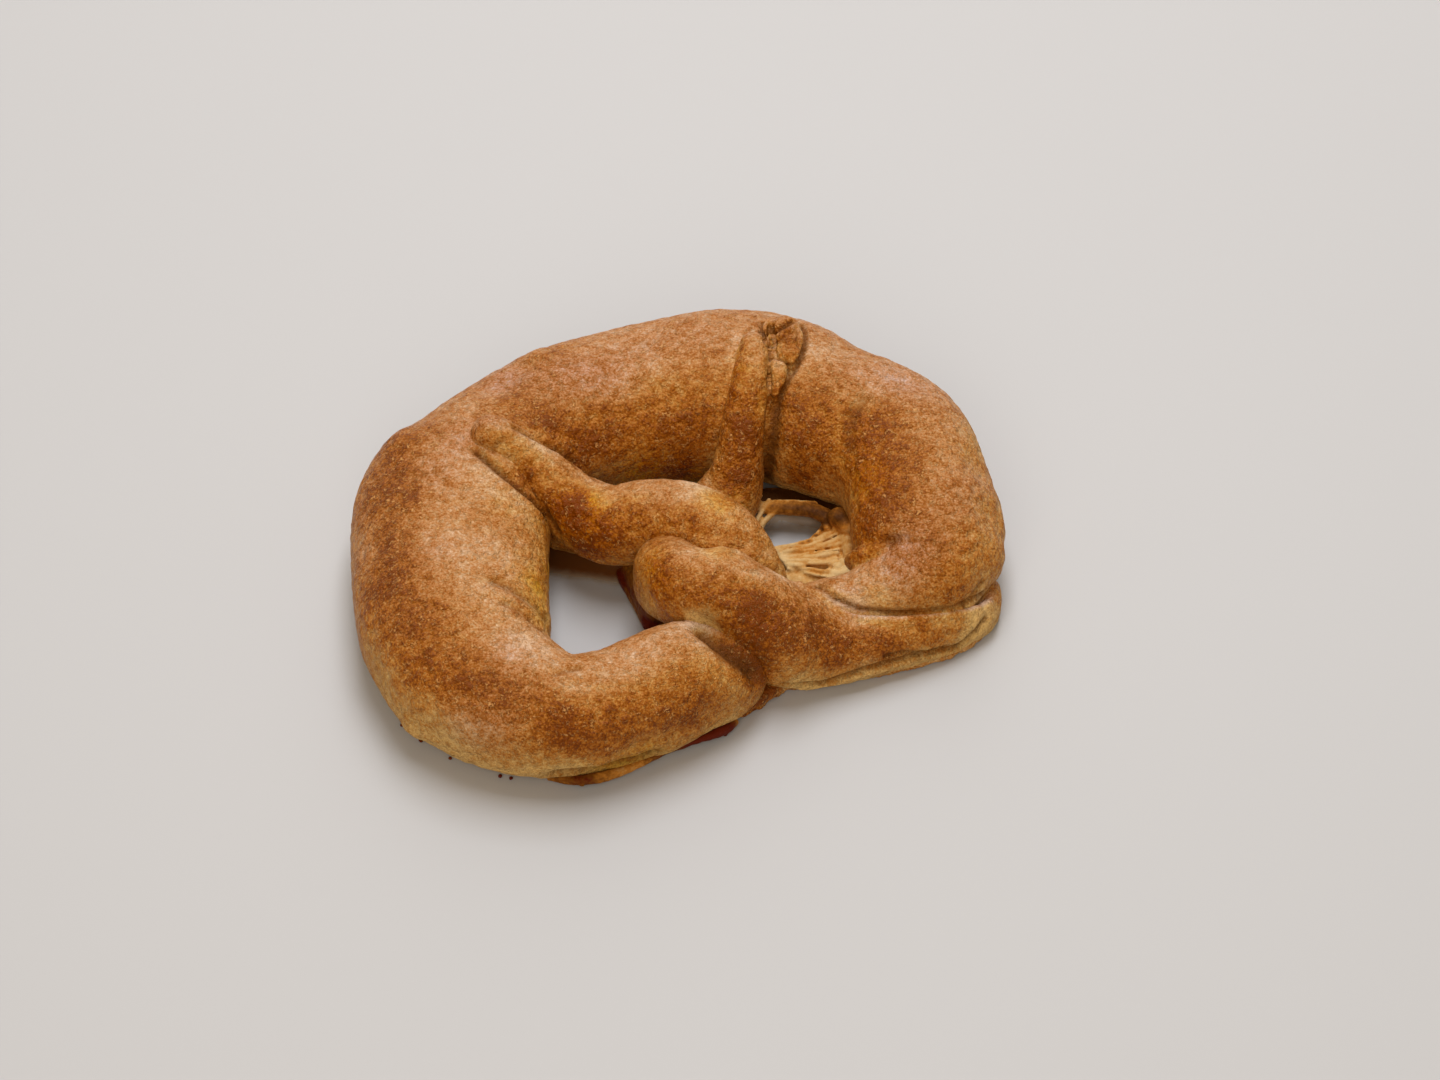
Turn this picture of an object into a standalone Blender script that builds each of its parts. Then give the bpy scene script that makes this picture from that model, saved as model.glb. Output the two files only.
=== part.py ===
"""A stuffed soft pretzel: one twisted rope of baked dough, and the skin of
leaked cheese that has set across its right-hand hole.

Units are metres, +Z is up and the table is z = 0. The origin is the middle of
the outline on the table. The front of the pretzel, where the rope's two ends
cross, faces -Y.
"""

import math

import bmesh
import bpy
import numpy as np

MM = 0.001

# The middle of the outline, in the frame that the tables of runs are written in
MIDDLE_X = -10.1 * MM
MIDDLE_Y = -13.45 * MM

# Section of a dough rope: an oval that is squarer below, where it has slumped
ROPE_SIDES = 40
ROPE_STEP = 2.0 * MM
CROWN_POWER = 2.1
FOOT_POWER = 2.8
END_POINT = 0.04

# Runs of the rope. Each row is x, y, height of the middle, half width and
# half height, in millimetres.
BODY_RUN = (
    (9, -45, 7, 8, 8),
    (2.5, -52.5, 10.5, 12.5, 11.5),
    (-10, -61, 12.5, 15, 13),
    (-27, -69.8, 13, 16, 13.5),
    (-42, -71.5, 13.5, 16.8, 14),
    (-58.5, -61.5, 14.5, 21, 15.5),
    (-66.5, -45, 15.5, 24, 16.5),
    (-68.5, -25, 15.5, 25, 17),
    (-68, -3, 15.5, 25, 16.5),
    (-60.5, 10, 15.5, 22, 16.5),
    (-46, 24.5, 15.5, 20.8, 16),
    (-30, 32, 15.5, 21.7, 16.5),
    (-9, 36.5, 16, 23, 17),
    (12, 37, 15.5, 24, 17),
    (28, 29, 16, 21.5, 16.5),
    (43, 20.5, 15.5, 20.5, 16.5),
    (50.8, 4, 15.5, 18.8, 16),
    (53, -13, 14.5, 19.5, 15),
    (47, -26, 12.5, 15, 13),
    (35, -33.5, 9.5, 9.8, 9.5),
    (24, -36, 7.5, 6.5, 7.5),
)
ARM_RUN = (
    (71.8, -20, 5.5, 3, 4.6),
    (70.5, -26, 4, 2.6, 3.8),
    (66.5, -32.3, 4.2, 3, 4.6),
    (56, -38, 5.2, 4.4, 6),
    (42, -41.8, 6.2, 6.6, 7),
    (30.5, -43.6, 7.5, 9.4, 8.5),
    (20.5, -43, 10.5, 13.2, 10.5),
    (10.5, -42.3, 16, 13, 11.5),
    (1, -40, 22.5, 11.3, 10),
    (-8, -37.3, 23.5, 10, 9.3),
    (-12.5, -30, 19.5, 9, 9),
    (-12.5, -19, 12, 8.5, 9),
)
BRIDGE_RUN = (
    (11, -34, 6, 8, 7),
    (8, -27, 13, 9.5, 8),
    (1.5, -20, 19.5, 10.5, 9),
    (-8, -15, 22.5, 11, 9),
    (-18, -13, 22, 11, 8.8),
    (-28, -12.5, 20.5, 10.5, 8.5),
    (-37, -6.5, 20, 9, 7.5),
    (-46, 1, 23, 7.4, 6.4),
    (-55, 6.5, 28, 5.8, 5.2),
    (-61.5, 7.5, 32, 4.6, 4.2),
)
FINGER_RUN = (
    (-12, -14, 9, 9, 8),
    (-4, -4, 9, 9, 8),
    (1.5, 4, 11, 8.5, 7.5),
    (4.6, 10, 16, 6.8, 6.5),
    (6, 17.5, 24, 6, 5.5),
    (7.5, 26, 29.5, 5.2, 5),
    (8.6, 34, 32.5, 4.4, 4.2),
    (9, 42, 33.5, 3.4, 3.2),
)
CURL_RUN = (
    (12.5, 42, 32, 3, 3),
    (14.5, 46, 31.5, 3.8, 3.5),
    (18, 46.5, 31, 4.4, 4),
    (19.5, 41, 32, 4.4, 4),
    (18, 34, 31.5, 3.4, 3.2),
    (15.5, 28, 30, 2.4, 2.6),
)
# Cheese that has run out under the rope and set at its foot
FRONT_LEAK_RUN = (
    (-42, -81, 1.5, 2, 2.4),
    (-34, -81.4, 1.5, 2.4, 2.6),
    (-25, -80.4, 1.5, 2.4, 2.6),
    (-19, -77.6, 1.5, 2, 2.4),
)
CORNER_LEAK_RUN = (
    (-9, -71, 1.5, 2, 2.4),
    (-2, -67.6, 1.6, 2.6, 3),
    (4, -62.4, 1.6, 2.4, 2.6),
)
ROPE_RUNS = (
    ("body_run", BODY_RUN),
    ("arm_run", ARM_RUN),
    ("bridge_run", BRIDGE_RUN),
    ("finger_run", FINGER_RUN),
    ("curl_run", CURL_RUN),
    ("front_leak_run", FRONT_LEAK_RUN),
    ("corner_leak_run", CORNER_LEAK_RUN),
)

# The fused dough: grain of the rounding, passes of smoothing and fineness
ROUNDING_GRAIN = 1.2 * MM
ROUNDING_PASSES = 4
DOUGH_TRIANGLES = 9600
FLOOR_CUT_SIZE = 300 * MM

# Cheese skin in the right-hand hole: an uneven ring round the opening left in it
WEB_HOLE_X = 19.0 * MM
WEB_HOLE_Y = 1.9 * MM
WEB_HOLE_HALF_X = 7.6 * MM
WEB_HOLE_HALF_Y = 5.9 * MM
WEB_REACH = (30 * MM, 22 * MM, 17 * MM, 38 * MM)
WEB_SIDES = 48
WEB_RINGS = 7
WEB_UNDERSIDE = 0.4 * MM
WEB_RIM_HEIGHT = 2.2 * MM
WEB_FOOT_HEIGHT = 4.4 * MM
WEB_STRANDS = 11
WEB_STRAND_HEIGHT = 0.5 * MM
WEB_GAP = 0.35 * MM
SMALLEST_SCRAP_FACES = 200
SMALLEST_EDGE = 0.05 * MM


def in_part_frame(row):
    """One row of a run as metres in the part's frame."""
    x, y, z, half_width, half_height = (value * MM for value in row)
    return x - MIDDLE_X, y - MIDDLE_Y, z, half_width, half_height


def smooth_run(rows):
    """Catmull-Rom curve through the rows, one sample every ROPE_STEP."""
    knots = np.array([in_part_frame(row) for row in rows])
    first = 2 * knots[0] - knots[1]
    last = 2 * knots[-1] - knots[-2]
    knots = np.vstack([first, knots, last])
    samples = []
    for before, here, there, after in zip(knots, knots[1:], knots[2:], knots[3:]):
        count = max(2, int(np.linalg.norm((there - here)[:3]) / ROPE_STEP))
        for t in np.arange(count) / count:
            samples.append(0.5 * (2 * here + (there - before) * t
                                  + (2 * before - 5 * here + 4 * there - after) * t ** 2
                                  + (3 * here - before - 3 * there + after) * t ** 3))
    samples.append(knots[-2])
    return np.array(samples)


def end_rounding(samples):
    """How far each section shrinks so that both ends are domes."""
    lengths = np.linalg.norm(np.diff(samples[:, :3], axis=0), axis=1)
    along = np.concatenate([[0], np.cumsum(lengths)])
    reach = samples[:, 3]
    to_end = np.minimum(along, along[-1] - along)
    depth = np.clip(1 - to_end / reach, 0, 1)
    return np.maximum(np.sqrt(1 - depth ** 2), END_POINT)


def section(half_width, half_height):
    """Points of one oval section, as sideways and upward offsets."""
    offsets = []
    for side in range(ROPE_SIDES):
        angle = 2 * math.pi * side / ROPE_SIDES
        across, up = math.cos(angle), math.sin(angle)
        power = CROWN_POWER if up >= 0 else FOOT_POWER
        offsets.append((math.copysign(abs(across) ** (2 / power), across) * half_width,
                        math.copysign(abs(up) ** (2 / power), up) * half_height))
    return offsets


def next_ring(bm, ring):
    """Extrude a ring and return its new vertices in the same order."""
    edges = [bm.edges.get((a, b)) for a, b in zip(ring, ring[1:] + ring[:1])]
    made = bmesh.ops.extrude_edge_only(bm, edges=edges)["geom"]
    fresh = {v for v in made if isinstance(v, bmesh.types.BMVert)}
    follow = []
    for vert in ring:
        follow.append(next(edge.other_vert(vert) for edge in vert.link_edges
                           if edge.other_vert(vert) in fresh))
    return follow


def make_rope(name, rows, collection):
    """A closed rope of dough lofted through its oval sections."""
    samples = smooth_run(rows)
    shrink = end_rounding(samples)
    forward = np.gradient(samples[:, :3], axis=0)
    forward /= np.linalg.norm(forward, axis=1)[:, None]
    sideways = np.cross(forward, (0, 0, 1))
    sideways /= np.linalg.norm(sideways, axis=1)[:, None]
    upward = np.cross(sideways, forward)

    bm = bmesh.new()
    ring = bmesh.ops.create_circle(bm, segments=ROPE_SIDES, radius=MM)["verts"]
    bmesh.ops.contextual_create(bm, geom=ring)
    for index, sample in enumerate(samples):
        if index:
            ring = next_ring(bm, ring)
        offsets = section(sample[3] * shrink[index], sample[4] * shrink[index])
        for vert, (across, up) in zip(ring, offsets):
            vert.co = sample[:3] + sideways[index] * across + upward[index] * up
    bmesh.ops.contextual_create(bm, geom=ring)
    bmesh.ops.recalc_face_normals(bm, faces=bm.faces)
    return add_object(name, bm, collection)


def add_object(name, bm, collection):
    mesh = bpy.data.meshes.new(name)
    bm.to_mesh(mesh)
    bm.free()
    obj = bpy.data.objects.new(name, mesh)
    collection.objects.link(obj)
    return obj


def add_collection(name):
    collection = bpy.data.collections.new(name)
    bpy.context.scene.collection.children.link(collection)
    return collection


def apply_modifiers(obj):
    """Give the object its evaluated mesh and drop the modifiers."""
    graph = bpy.context.evaluated_depsgraph_get()
    graph.update()
    mesh = bpy.data.meshes.new_from_object(obj.evaluated_get(graph))
    obj.modifiers.clear()
    obj.data = mesh


def remove_collection(collection):
    for obj in list(collection.objects):
        bpy.data.objects.remove(obj)
    bpy.data.collections.remove(collection)


def make_floor_cutter(collection):
    """Everything below the table, which gives the pretzel its flat base."""
    bm = bmesh.new()
    bmesh.ops.create_cube(bm, size=FLOOR_CUT_SIZE)
    bmesh.ops.translate(bm, vec=(0, 0, -FLOOR_CUT_SIZE / 2), verts=bm.verts)
    cutter = add_object("below_table", bm, collection)
    cutter.hide_render = True
    cutter.display_type = "WIRE"
    return cutter


def make_dough(parts, cutters):
    """The runs joined into one body, rounded at the creases, on a flat base."""
    runs = add_collection("rope_runs")
    ropes = [make_rope(name, rows, runs) for name, rows in ROPE_RUNS]
    dough = ropes[0]
    runs.objects.unlink(dough)
    parts.objects.link(dough)
    dough.name = "pretzel_dough"

    join = dough.modifiers.new("join_runs", "BOOLEAN")
    join.operation = "UNION"
    join.operand_type = "COLLECTION"
    join.collection = runs
    join.solver = "MANIFOLD"
    apply_modifiers(dough)
    remove_collection(runs)

    rounding = dough.modifiers.new("rounding", "REMESH")
    rounding.mode = "VOXEL"
    rounding.voxel_size = ROUNDING_GRAIN
    soften = dough.modifiers.new("soften_creases", "SMOOTH")
    soften.iterations = ROUNDING_PASSES
    apply_modifiers(dough)

    lighten = dough.modifiers.new("fewer_faces", "DECIMATE")
    lighten.ratio = DOUGH_TRIANGLES / (2 * len(dough.data.polygons))
    flatten = dough.modifiers.new("flat_base", "BOOLEAN")
    flatten.operation = "DIFFERENCE"
    flatten.object = make_floor_cutter(cutters)
    apply_modifiers(dough)
    tidy_mesh(dough)
    dough.data.shade_smooth()
    return dough


def tidy_mesh(obj):
    """Remove scraps, which have fewer faces than a real piece, and sliver edges."""
    bm = bmesh.new()
    bm.from_mesh(obj.data)
    left = set(bm.faces)
    while left:
        island = {left.pop()}
        edge_faces = list(island)
        while edge_faces:
            face = edge_faces.pop()
            for edge in face.edges:
                for other in edge.link_faces:
                    if other not in island:
                        island.add(other)
                        edge_faces.append(other)
        left -= island
        if len(island) < SMALLEST_SCRAP_FACES:
            bmesh.ops.delete(bm, geom=list(island), context="FACES")
    bmesh.ops.dissolve_degenerate(bm, dist=SMALLEST_EDGE, edges=bm.edges)
    bm.to_mesh(obj.data)
    bm.free()


def web_reach(angle):
    """Distance from the middle of the opening to the skin's outer edge."""
    right, back, left, front = WEB_REACH
    along_x = right if math.cos(angle) > 0 else left
    along_y = back if math.sin(angle) > 0 else front
    return along_x * math.cos(angle), along_y * math.sin(angle)


def make_web(dough, parts, cutters):
    """The skin of set cheese, cut clear of the dough round it."""
    bm = bmesh.new()
    ring = bmesh.ops.create_circle(bm, segments=WEB_SIDES, radius=MM)["verts"]
    middle_x = WEB_HOLE_X - MIDDLE_X
    middle_y = WEB_HOLE_Y - MIDDLE_Y
    for index in range(WEB_RINGS):
        if index:
            ring = next_ring(bm, ring)
        share = index / (WEB_RINGS - 1)
        for side, vert in enumerate(ring):
            angle = 2 * math.pi * side / WEB_SIDES
            outer_x, outer_y = web_reach(angle)
            inner_x = WEB_HOLE_HALF_X * math.cos(angle)
            inner_y = WEB_HOLE_HALF_Y * math.sin(angle)
            strand = WEB_STRAND_HEIGHT * math.cos(WEB_STRANDS * angle)
            vert.co.x = middle_x + inner_x + (outer_x - inner_x) * share
            vert.co.y = middle_y + inner_y + (outer_y - inner_y) * share
            vert.co.z = (WEB_RIM_HEIGHT + (WEB_FOOT_HEIGHT - WEB_RIM_HEIGHT) * share
                         + strand * math.sin(math.pi * share))
    top = list(bm.faces)
    lower = bmesh.ops.extrude_face_region(bm, geom=top)["geom"]
    for vert in lower:
        if isinstance(vert, bmesh.types.BMVert):
            vert.co.z = WEB_UNDERSIDE
    bmesh.ops.recalc_face_normals(bm, faces=bm.faces)
    web = add_object("cheese_web", bm, parts)

    clearance = dough.copy()
    clearance.data = dough.data.copy()
    clearance.name = "dough_with_clearance"
    cutters.objects.link(clearance)
    clearance.hide_render = True
    clearance.display_type = "WIRE"
    swell = clearance.modifiers.new("swell", "DISPLACE")
    swell.strength = WEB_GAP
    swell.mid_level = 0
    apply_modifiers(clearance)

    trim = web.modifiers.new("clear_of_dough", "BOOLEAN")
    trim.operation = "DIFFERENCE"
    trim.object = clearance
    apply_modifiers(web)
    tidy_mesh(web)
    return web


def make_material(name, color, roughness):
    material = bpy.data.materials.new(name)
    material.use_nodes = True
    shader = material.node_tree.nodes["Principled BSDF"]
    shader.inputs["Base Color"].default_value = (*color, 1.0)
    shader.inputs["Roughness"].default_value = roughness
    shader.inputs["Metallic"].default_value = 0.0
    return material


def main():
    for obj in list(bpy.data.objects):
        bpy.data.objects.remove(obj)
    parts = add_collection("cheese_pretzel")
    cutters = add_collection("cutters")

    dough = make_dough(parts, cutters)
    dough.data.materials.clear()
    dough.data.materials.append(make_material("baked_dough", (0.50, 0.22, 0.07), 0.5))
    web = make_web(dough, parts, cutters)
    web.data.materials.clear()
    web.data.materials.append(make_material("set_cheese", (0.72, 0.50, 0.20), 0.4))


main()
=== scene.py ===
"""The looks of a stuffed soft pretzel: baked crust, set cheese and the stage.

Sizes in the tables are millimetres in the frame that the runs are written in.
MIDDLE_X and MIDDLE_Y carry them into the part's own frame, in metres.
"""

import math

import bmesh
import bpy
import numpy as np
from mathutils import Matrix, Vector, noise
from mathutils.bvhtree import BVHTree


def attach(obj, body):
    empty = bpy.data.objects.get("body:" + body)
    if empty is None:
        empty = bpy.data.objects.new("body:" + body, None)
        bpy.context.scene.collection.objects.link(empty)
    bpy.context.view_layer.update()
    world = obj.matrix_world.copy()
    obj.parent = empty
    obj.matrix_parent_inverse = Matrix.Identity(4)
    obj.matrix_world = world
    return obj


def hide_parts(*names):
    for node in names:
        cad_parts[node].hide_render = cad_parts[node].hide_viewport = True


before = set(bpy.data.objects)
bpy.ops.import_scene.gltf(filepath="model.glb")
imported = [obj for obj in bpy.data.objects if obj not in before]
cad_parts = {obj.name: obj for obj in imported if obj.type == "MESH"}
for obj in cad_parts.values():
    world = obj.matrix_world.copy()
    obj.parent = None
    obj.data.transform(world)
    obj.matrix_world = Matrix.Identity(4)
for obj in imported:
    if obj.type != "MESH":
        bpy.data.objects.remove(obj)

bl_info = {
    "name": "Cheese Pretzel",
    "version": (1, 0, 0),
    "blender": (4, 5, 0),
    "location": "View3D > Sidebar > Pretzel",
    "description": "Bakes the crust and the leaked cheese of a stuffed pretzel",
    "category": "Object",
}

MM = 0.001
MIDDLE_X = -10.1 * MM
MIDDLE_Y = -13.45 * MM

# Section of a rope of dough: an oval that is squarer below, where it slumped,
# and that shrinks to a small share of itself at the rope's ends
ROPE_SIDES = 72
ROPE_STEP = 1.0 * MM
CROWN_POWER = 2.1
FOOT_POWER = 2.8
END_POINT = 0.04

# Runs of the rope: x, y, height of the middle, half width and half height
BODY_RUN = (
    (6.5, -45.5, 7, 7.5, 8),
    (1, -53.6, 10.4, 12.3, 11.2),
    (-10, -59.5, 13.2, 14.3, 13.6),
    (-27, -69.1, 13, 15, 13.5),
    (-42, -71.3, 13.5, 16.4, 14),
    (-58.5, -61.5, 14.5, 21, 15.5),
    (-66.5, -45, 15.5, 24, 16.5),
    (-68.5, -25, 15.5, 25, 17),
    (-68, -3, 15.5, 25, 16.5),
    (-60.5, 10, 15.5, 22, 16.5),
    (-46, 24.5, 15.5, 20.8, 16),
    (-30, 32, 15.5, 21.7, 16.5),
    (-9, 36.5, 16, 23, 17.8),
    (12, 37, 16, 24, 17.5),
    (28, 29, 16, 21.5, 16.5),
    (43, 20.5, 15.5, 20.5, 16.5),
    (50.8, 4, 15.5, 18.8, 16),
    (53.3, -13, 14.5, 19.5, 15),
    (52, -24, 12.5, 14.5, 13),
    (37, -30.5, 9.5, 8.8, 9.5),
    (25, -33, 8.5, 8, 8.5),
    (15, -38, 7.5, 7, 7.5),
)
ARM_RUN = (
    (68.6, -20, 5, 2.4, 4),
    (68.6, -26, 4.4, 2.8, 4.2),
    (65.6, -32.3, 4.6, 3.4, 5),
    (56, -37.6, 5.6, 4.7, 6.5),
    (42, -41.4, 6.6, 6.9, 7.6),
    (30.5, -43.6, 7.5, 9.4, 8.5),
    (20.5, -43, 10.5, 13.2, 10.5),
    (10.5, -43.2, 15.7, 13.6, 11.8),
    (1, -40.5, 22.3, 11.7, 10.3),
    (-8, -37.3, 22.8, 10, 10),
    (-12.5, -30, 18.5, 9.4, 10.2),
    (-12.5, -19, 12, 8.5, 9),
)
BRIDGE_RUN = (
    (11, -34, 6, 8, 7),
    (8, -27, 13, 9.5, 8),
    (1.5, -20, 19.5, 10.5, 9),
    (-8, -14, 21.4, 11, 9),
    (-18, -11.2, 19.5, 11, 9.3),
    (-28, -10.2, 17.5, 10.5, 9),
    (-37, -4.6, 18.3, 9, 7.7),
    (-46, 1.6, 23.6, 6.9, 6.2),
    (-55, 6.4, 29.4, 5.5, 5.2),
    (-63.2, 7.9, 33.3, 4.7, 4.6),
)
FINGER_RUN = (
    (-12, -14, 9, 9, 8),
    (-4, -4, 9, 9, 8),
    (1.5, 4, 11, 8.5, 7.5),
    (4.6, 9.5, 17, 6.6, 6.5),
    (6, 16.8, 25.2, 5.8, 5.4),
    (7.5, 25.2, 30.6, 5, 4.8),
    (8.4, 33.5, 33.1, 4.2, 4),
    (8.6, 41, 34, 2.8, 2.8),
)

# Runs whose middles are given at the photograph's points: across, down, height
# above the floor, half width and half height. These are the curled end of the
# finger, the dough that fills the bridge's neck, and the dough that fills the
# crease inside the ring's right bend.
CURL_RUNS = (
    ((783, 319, 32.6, 2.6, 2), (785, 327, 33.4, 3.9, 2.5), (788, 338, 33.6, 4.1, 2.6),
     (789, 350, 33.2, 3.5, 2.4), (789, 361, 32.6, 2.8, 2), (790, 370, 32, 1.2, 1.2)),
    ((770, 320, 33.4, 0.8, 0.9), (766, 327, 33.8, 0.9, 1), (766, 337, 33.6, 0.9, 1),
     (769, 346, 33.2, 0.8, 0.9), (776, 352, 33, 0.8, 0.8)),
    ((775, 359, 33.2, 1.4, 1.3), (778, 365, 33.4, 2.1, 1.5), (779, 373, 32.8, 2.4, 1.6),
     (778, 382, 32, 2.2, 1.5), (775, 391, 31, 1.6, 1.3), (772, 400, 30, 1, 1)),
)
NECK_RUNS = (
    ((546, 520, 9, 4, 5), (560, 529, 9, 4.4, 5), (578, 533, 9, 4.4, 5), (598, 538, 9.5, 4.4, 5),
     (618, 542, 9.5, 4, 4)),
)
ELBOW_RUNS = (
    ((847, 566, 10, 1.2, 1.6), (852, 562, 12.8, 2, 2.4), (858, 558, 16, 2.6, 2.4),
     (864, 555, 17.3, 2.8, 2.4), (870, 552, 18.4, 2.8, 2.2), (876, 548.5, 19.8, 2.6, 1.9),
     (882, 545, 20.8, 2.2, 1.6), (889, 542, 21.6, 1.4, 1.2)),
)

# Pieces of the crust: name, run, runs given at the photograph's points, and the
# width of the faces in millimetres
CRUST_PIECES = (
    ("pretzel_ring", BODY_RUN, ELBOW_RUNS, 0.8),
    ("pretzel_arm", ARM_RUN, (), 0.6),
    ("pretzel_bridge", BRIDGE_RUN, NECK_RUNS, 0.6),
    ("pretzel_finger", FINGER_RUN, CURL_RUNS, 0.4),
)

# Places on the crust are given as points of the photograph, 1440 by 1080, and
# found on the dough by looking from the camera. Spots that browned more, some of
# them painted shade in the valley between the near lobe and the arm, and spots
# that stayed pale: across, down, radius in millimetres, strength.
TOASTED_AND_SHADE_SPOTS = (
    (388, 448, 9, 0.26), (378, 490, 9, 0.28), (374, 540, 10, 0.24), (382, 590, 10, 0.30),
    (398, 640, 9, 0.30), (432, 668, 8, 0.28), (482, 668, 8, 0.30), (505, 690, 8, 0.30),
    (556, 716, 7, 0.28), (565, 742, 6, 0.32), (600, 748, 7, 0.24), (704, 700, 7, 0.30),
    (672, 728, 7, 0.30), (600, 425, 9, 0.24), (645, 435, 9, 0.26), (685, 442, 8, 0.26),
    (590, 452, 8, 0.26), (560, 372, 8, 0.20), (600, 365, 8, 0.16), (680, 350, 8, 0.16),
    (530, 395, 8, 0.16), (640, 470, 6, 0.22), (832, 392, 7, 0.22), (880, 420, 7, 0.36),
    (800, 440, 8, 0.22), (905, 455, 7, 0.32), (850, 470, 8, 0.26), (889, 498, 8, 0.40),
    (866, 522, 7, 0.30), (862, 550, 6, 0.20), (955, 600, 5, 0.22), (880, 640, 6, 0.30),
    (850, 660, 5, 0.12), (960, 632, 5, 0.14), (560, 548, 4, 0.1), (900, 560, 7, 0.20),
    (940, 520, 7, 0.14), (640, 512, 6, 0.22), (685, 522, 6, 0.22), (732, 540, 6, 0.30),
    (610, 525, 5, 0.18), (665, 574, 6, 0.40), (700, 598, 7, 0.26), (742, 625, 7, 0.34),
    (790, 640, 7, 0.30), (835, 655, 6, 0.16), (930, 632, 5, 0.24), (760, 600, 7, 0.16),
    (742, 350, 1.4, 0.34), (738, 362, 1.6, 0.44), (735, 375, 1.8, 0.44), (732, 390, 2, 0.44),
    (730, 404, 2, 0.36), (740, 430, 5, 0.36), (745, 465, 5, 0.30), (758, 440, 4, 0.26),
    (482, 436, 5, 0.34), (530, 466, 5, 0.22), (572, 505, 6, 0.34), (785, 330, 3, 0.36),
    (795, 350, 3, 0.22), (413, 495, 1.8, 0.40), (386, 547, 1.8, 0.36), (800, 478, 5, 0.30),
    (400, 505, 9, 0.20), (402, 570, 9, 0.22), (440, 425, 8, 0.22), (500, 388, 8, 0.20),
    (580, 500, 4, 0.22), (575, 520, 4, 0.28), (605, 533, 5, 0.18), (655, 540, 4, 0.16),
    (542, 426, 6, 0.26), (578, 446, 5, 0.20), (566, 546, 5, 0.26), (705, 418, 7, 0.28),
    (734, 484, 5, 0.30), (784, 396, 5, 0.28), (806, 408, 5, 0.20), (830, 424, 6, 0.16),
    (754, 398, 3, 0.24), (742, 652, 5, 0.28), (768, 632, 5, 0.22), (830, 650, 6, 0.14),
    (885, 650, 6, 0.16), (756, 676, 4, 0.34), (624, 722, 7, 0.22), (600, 700, 6, 0.12),
    (750, 380, 3, 0.20), (745, 420, 4, 0.14), (790, 342, 4, 0.22), (512, 478, 5, 0.22),
    (546, 490, 6, 0.16), (582, 548, 5, 0.20), (455, 700, 6, 0.26), (934, 556, 5, 0.16),
    (430, 608, 7, 0.22), (498, 575, 7, 0.16), (556, 510, 5, 0.16), (700, 348, 5, 0.10),
    (545, 424, 5, 0.18), (705, 450, 5, 0.16), (528, 476, 4, 0.18), (680, 476, 5, 0.18),
    (730, 500, 4, 0.18), (592, 550, 6, 0.20), (655, 548, 4, 0.14), (717, 576, 6, 0.15),
    (755, 602, 6, 0.22), (817, 627, 6, 0.28), (880, 462, 7, 0.16), (930, 576, 6, 0.16),
    (955, 550, 6, 0.14), (655, 396, 9, 0.14), (755, 676, 5, 0.20), (730, 352, 3, 0.18),
    (405, 475, 5, 0.12), (452, 700, 6, 0.12), (445, 612, 11, 0.14), (850, 632, 8, 0.12),
    (690, 708, 8, 0.10), (668, 672, 6, 0.12), (530, 700, 6, 0.10), (618, 725, 7, 0.12),
    (505, 402, 6, 0.14), (582, 450, 5, 0.14), (742, 478, 6, 0.12), (915, 640, 7, 0.14),
    (630, 425, 6, 0.12), (592, 552, 5, 0.12), (780, 500, 4, 0.12), (785, 694, 4, 0.16),
    (755, 598, 5, 0.10), (730, 500, 5, 0.10), (560, 395, 8, 0.10), (558, 352, 5, 0.16),
    (730, 350, 4, 0.14), (405, 452, 6, 0.12), (530, 475, 5, 0.10), (557, 427, 4, 0.12),
    # Spots along the valley between the near lobe and the arm, 742 to 776 across and 652 to 688 down,
    # here and above, darken it as painted shade
    (680, 475, 5, 0.12), (630, 548, 5, 0.14), (768, 682, 4, 0.16), (776, 688, 3, 0.14),
    (762, 666, 4, 0.22), (764, 676, 3, 0.20), (752, 654, 3, 0.14), (430, 430, 7, 0.10),
    (470, 400, 7, 0.08), (560, 750, 6, 0.10), (600, 755, 6, 0.10), (640, 735, 6, 0.10),
    (745, 420, 5, 0.08), (405, 470, 7, 0.06), (398, 540, 7, 0.08), (730, 570, 5, 0.06),
    (770, 590, 5, 0.08), (810, 460, 6, 0.10), (800, 430, 6, 0.08),
)
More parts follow.
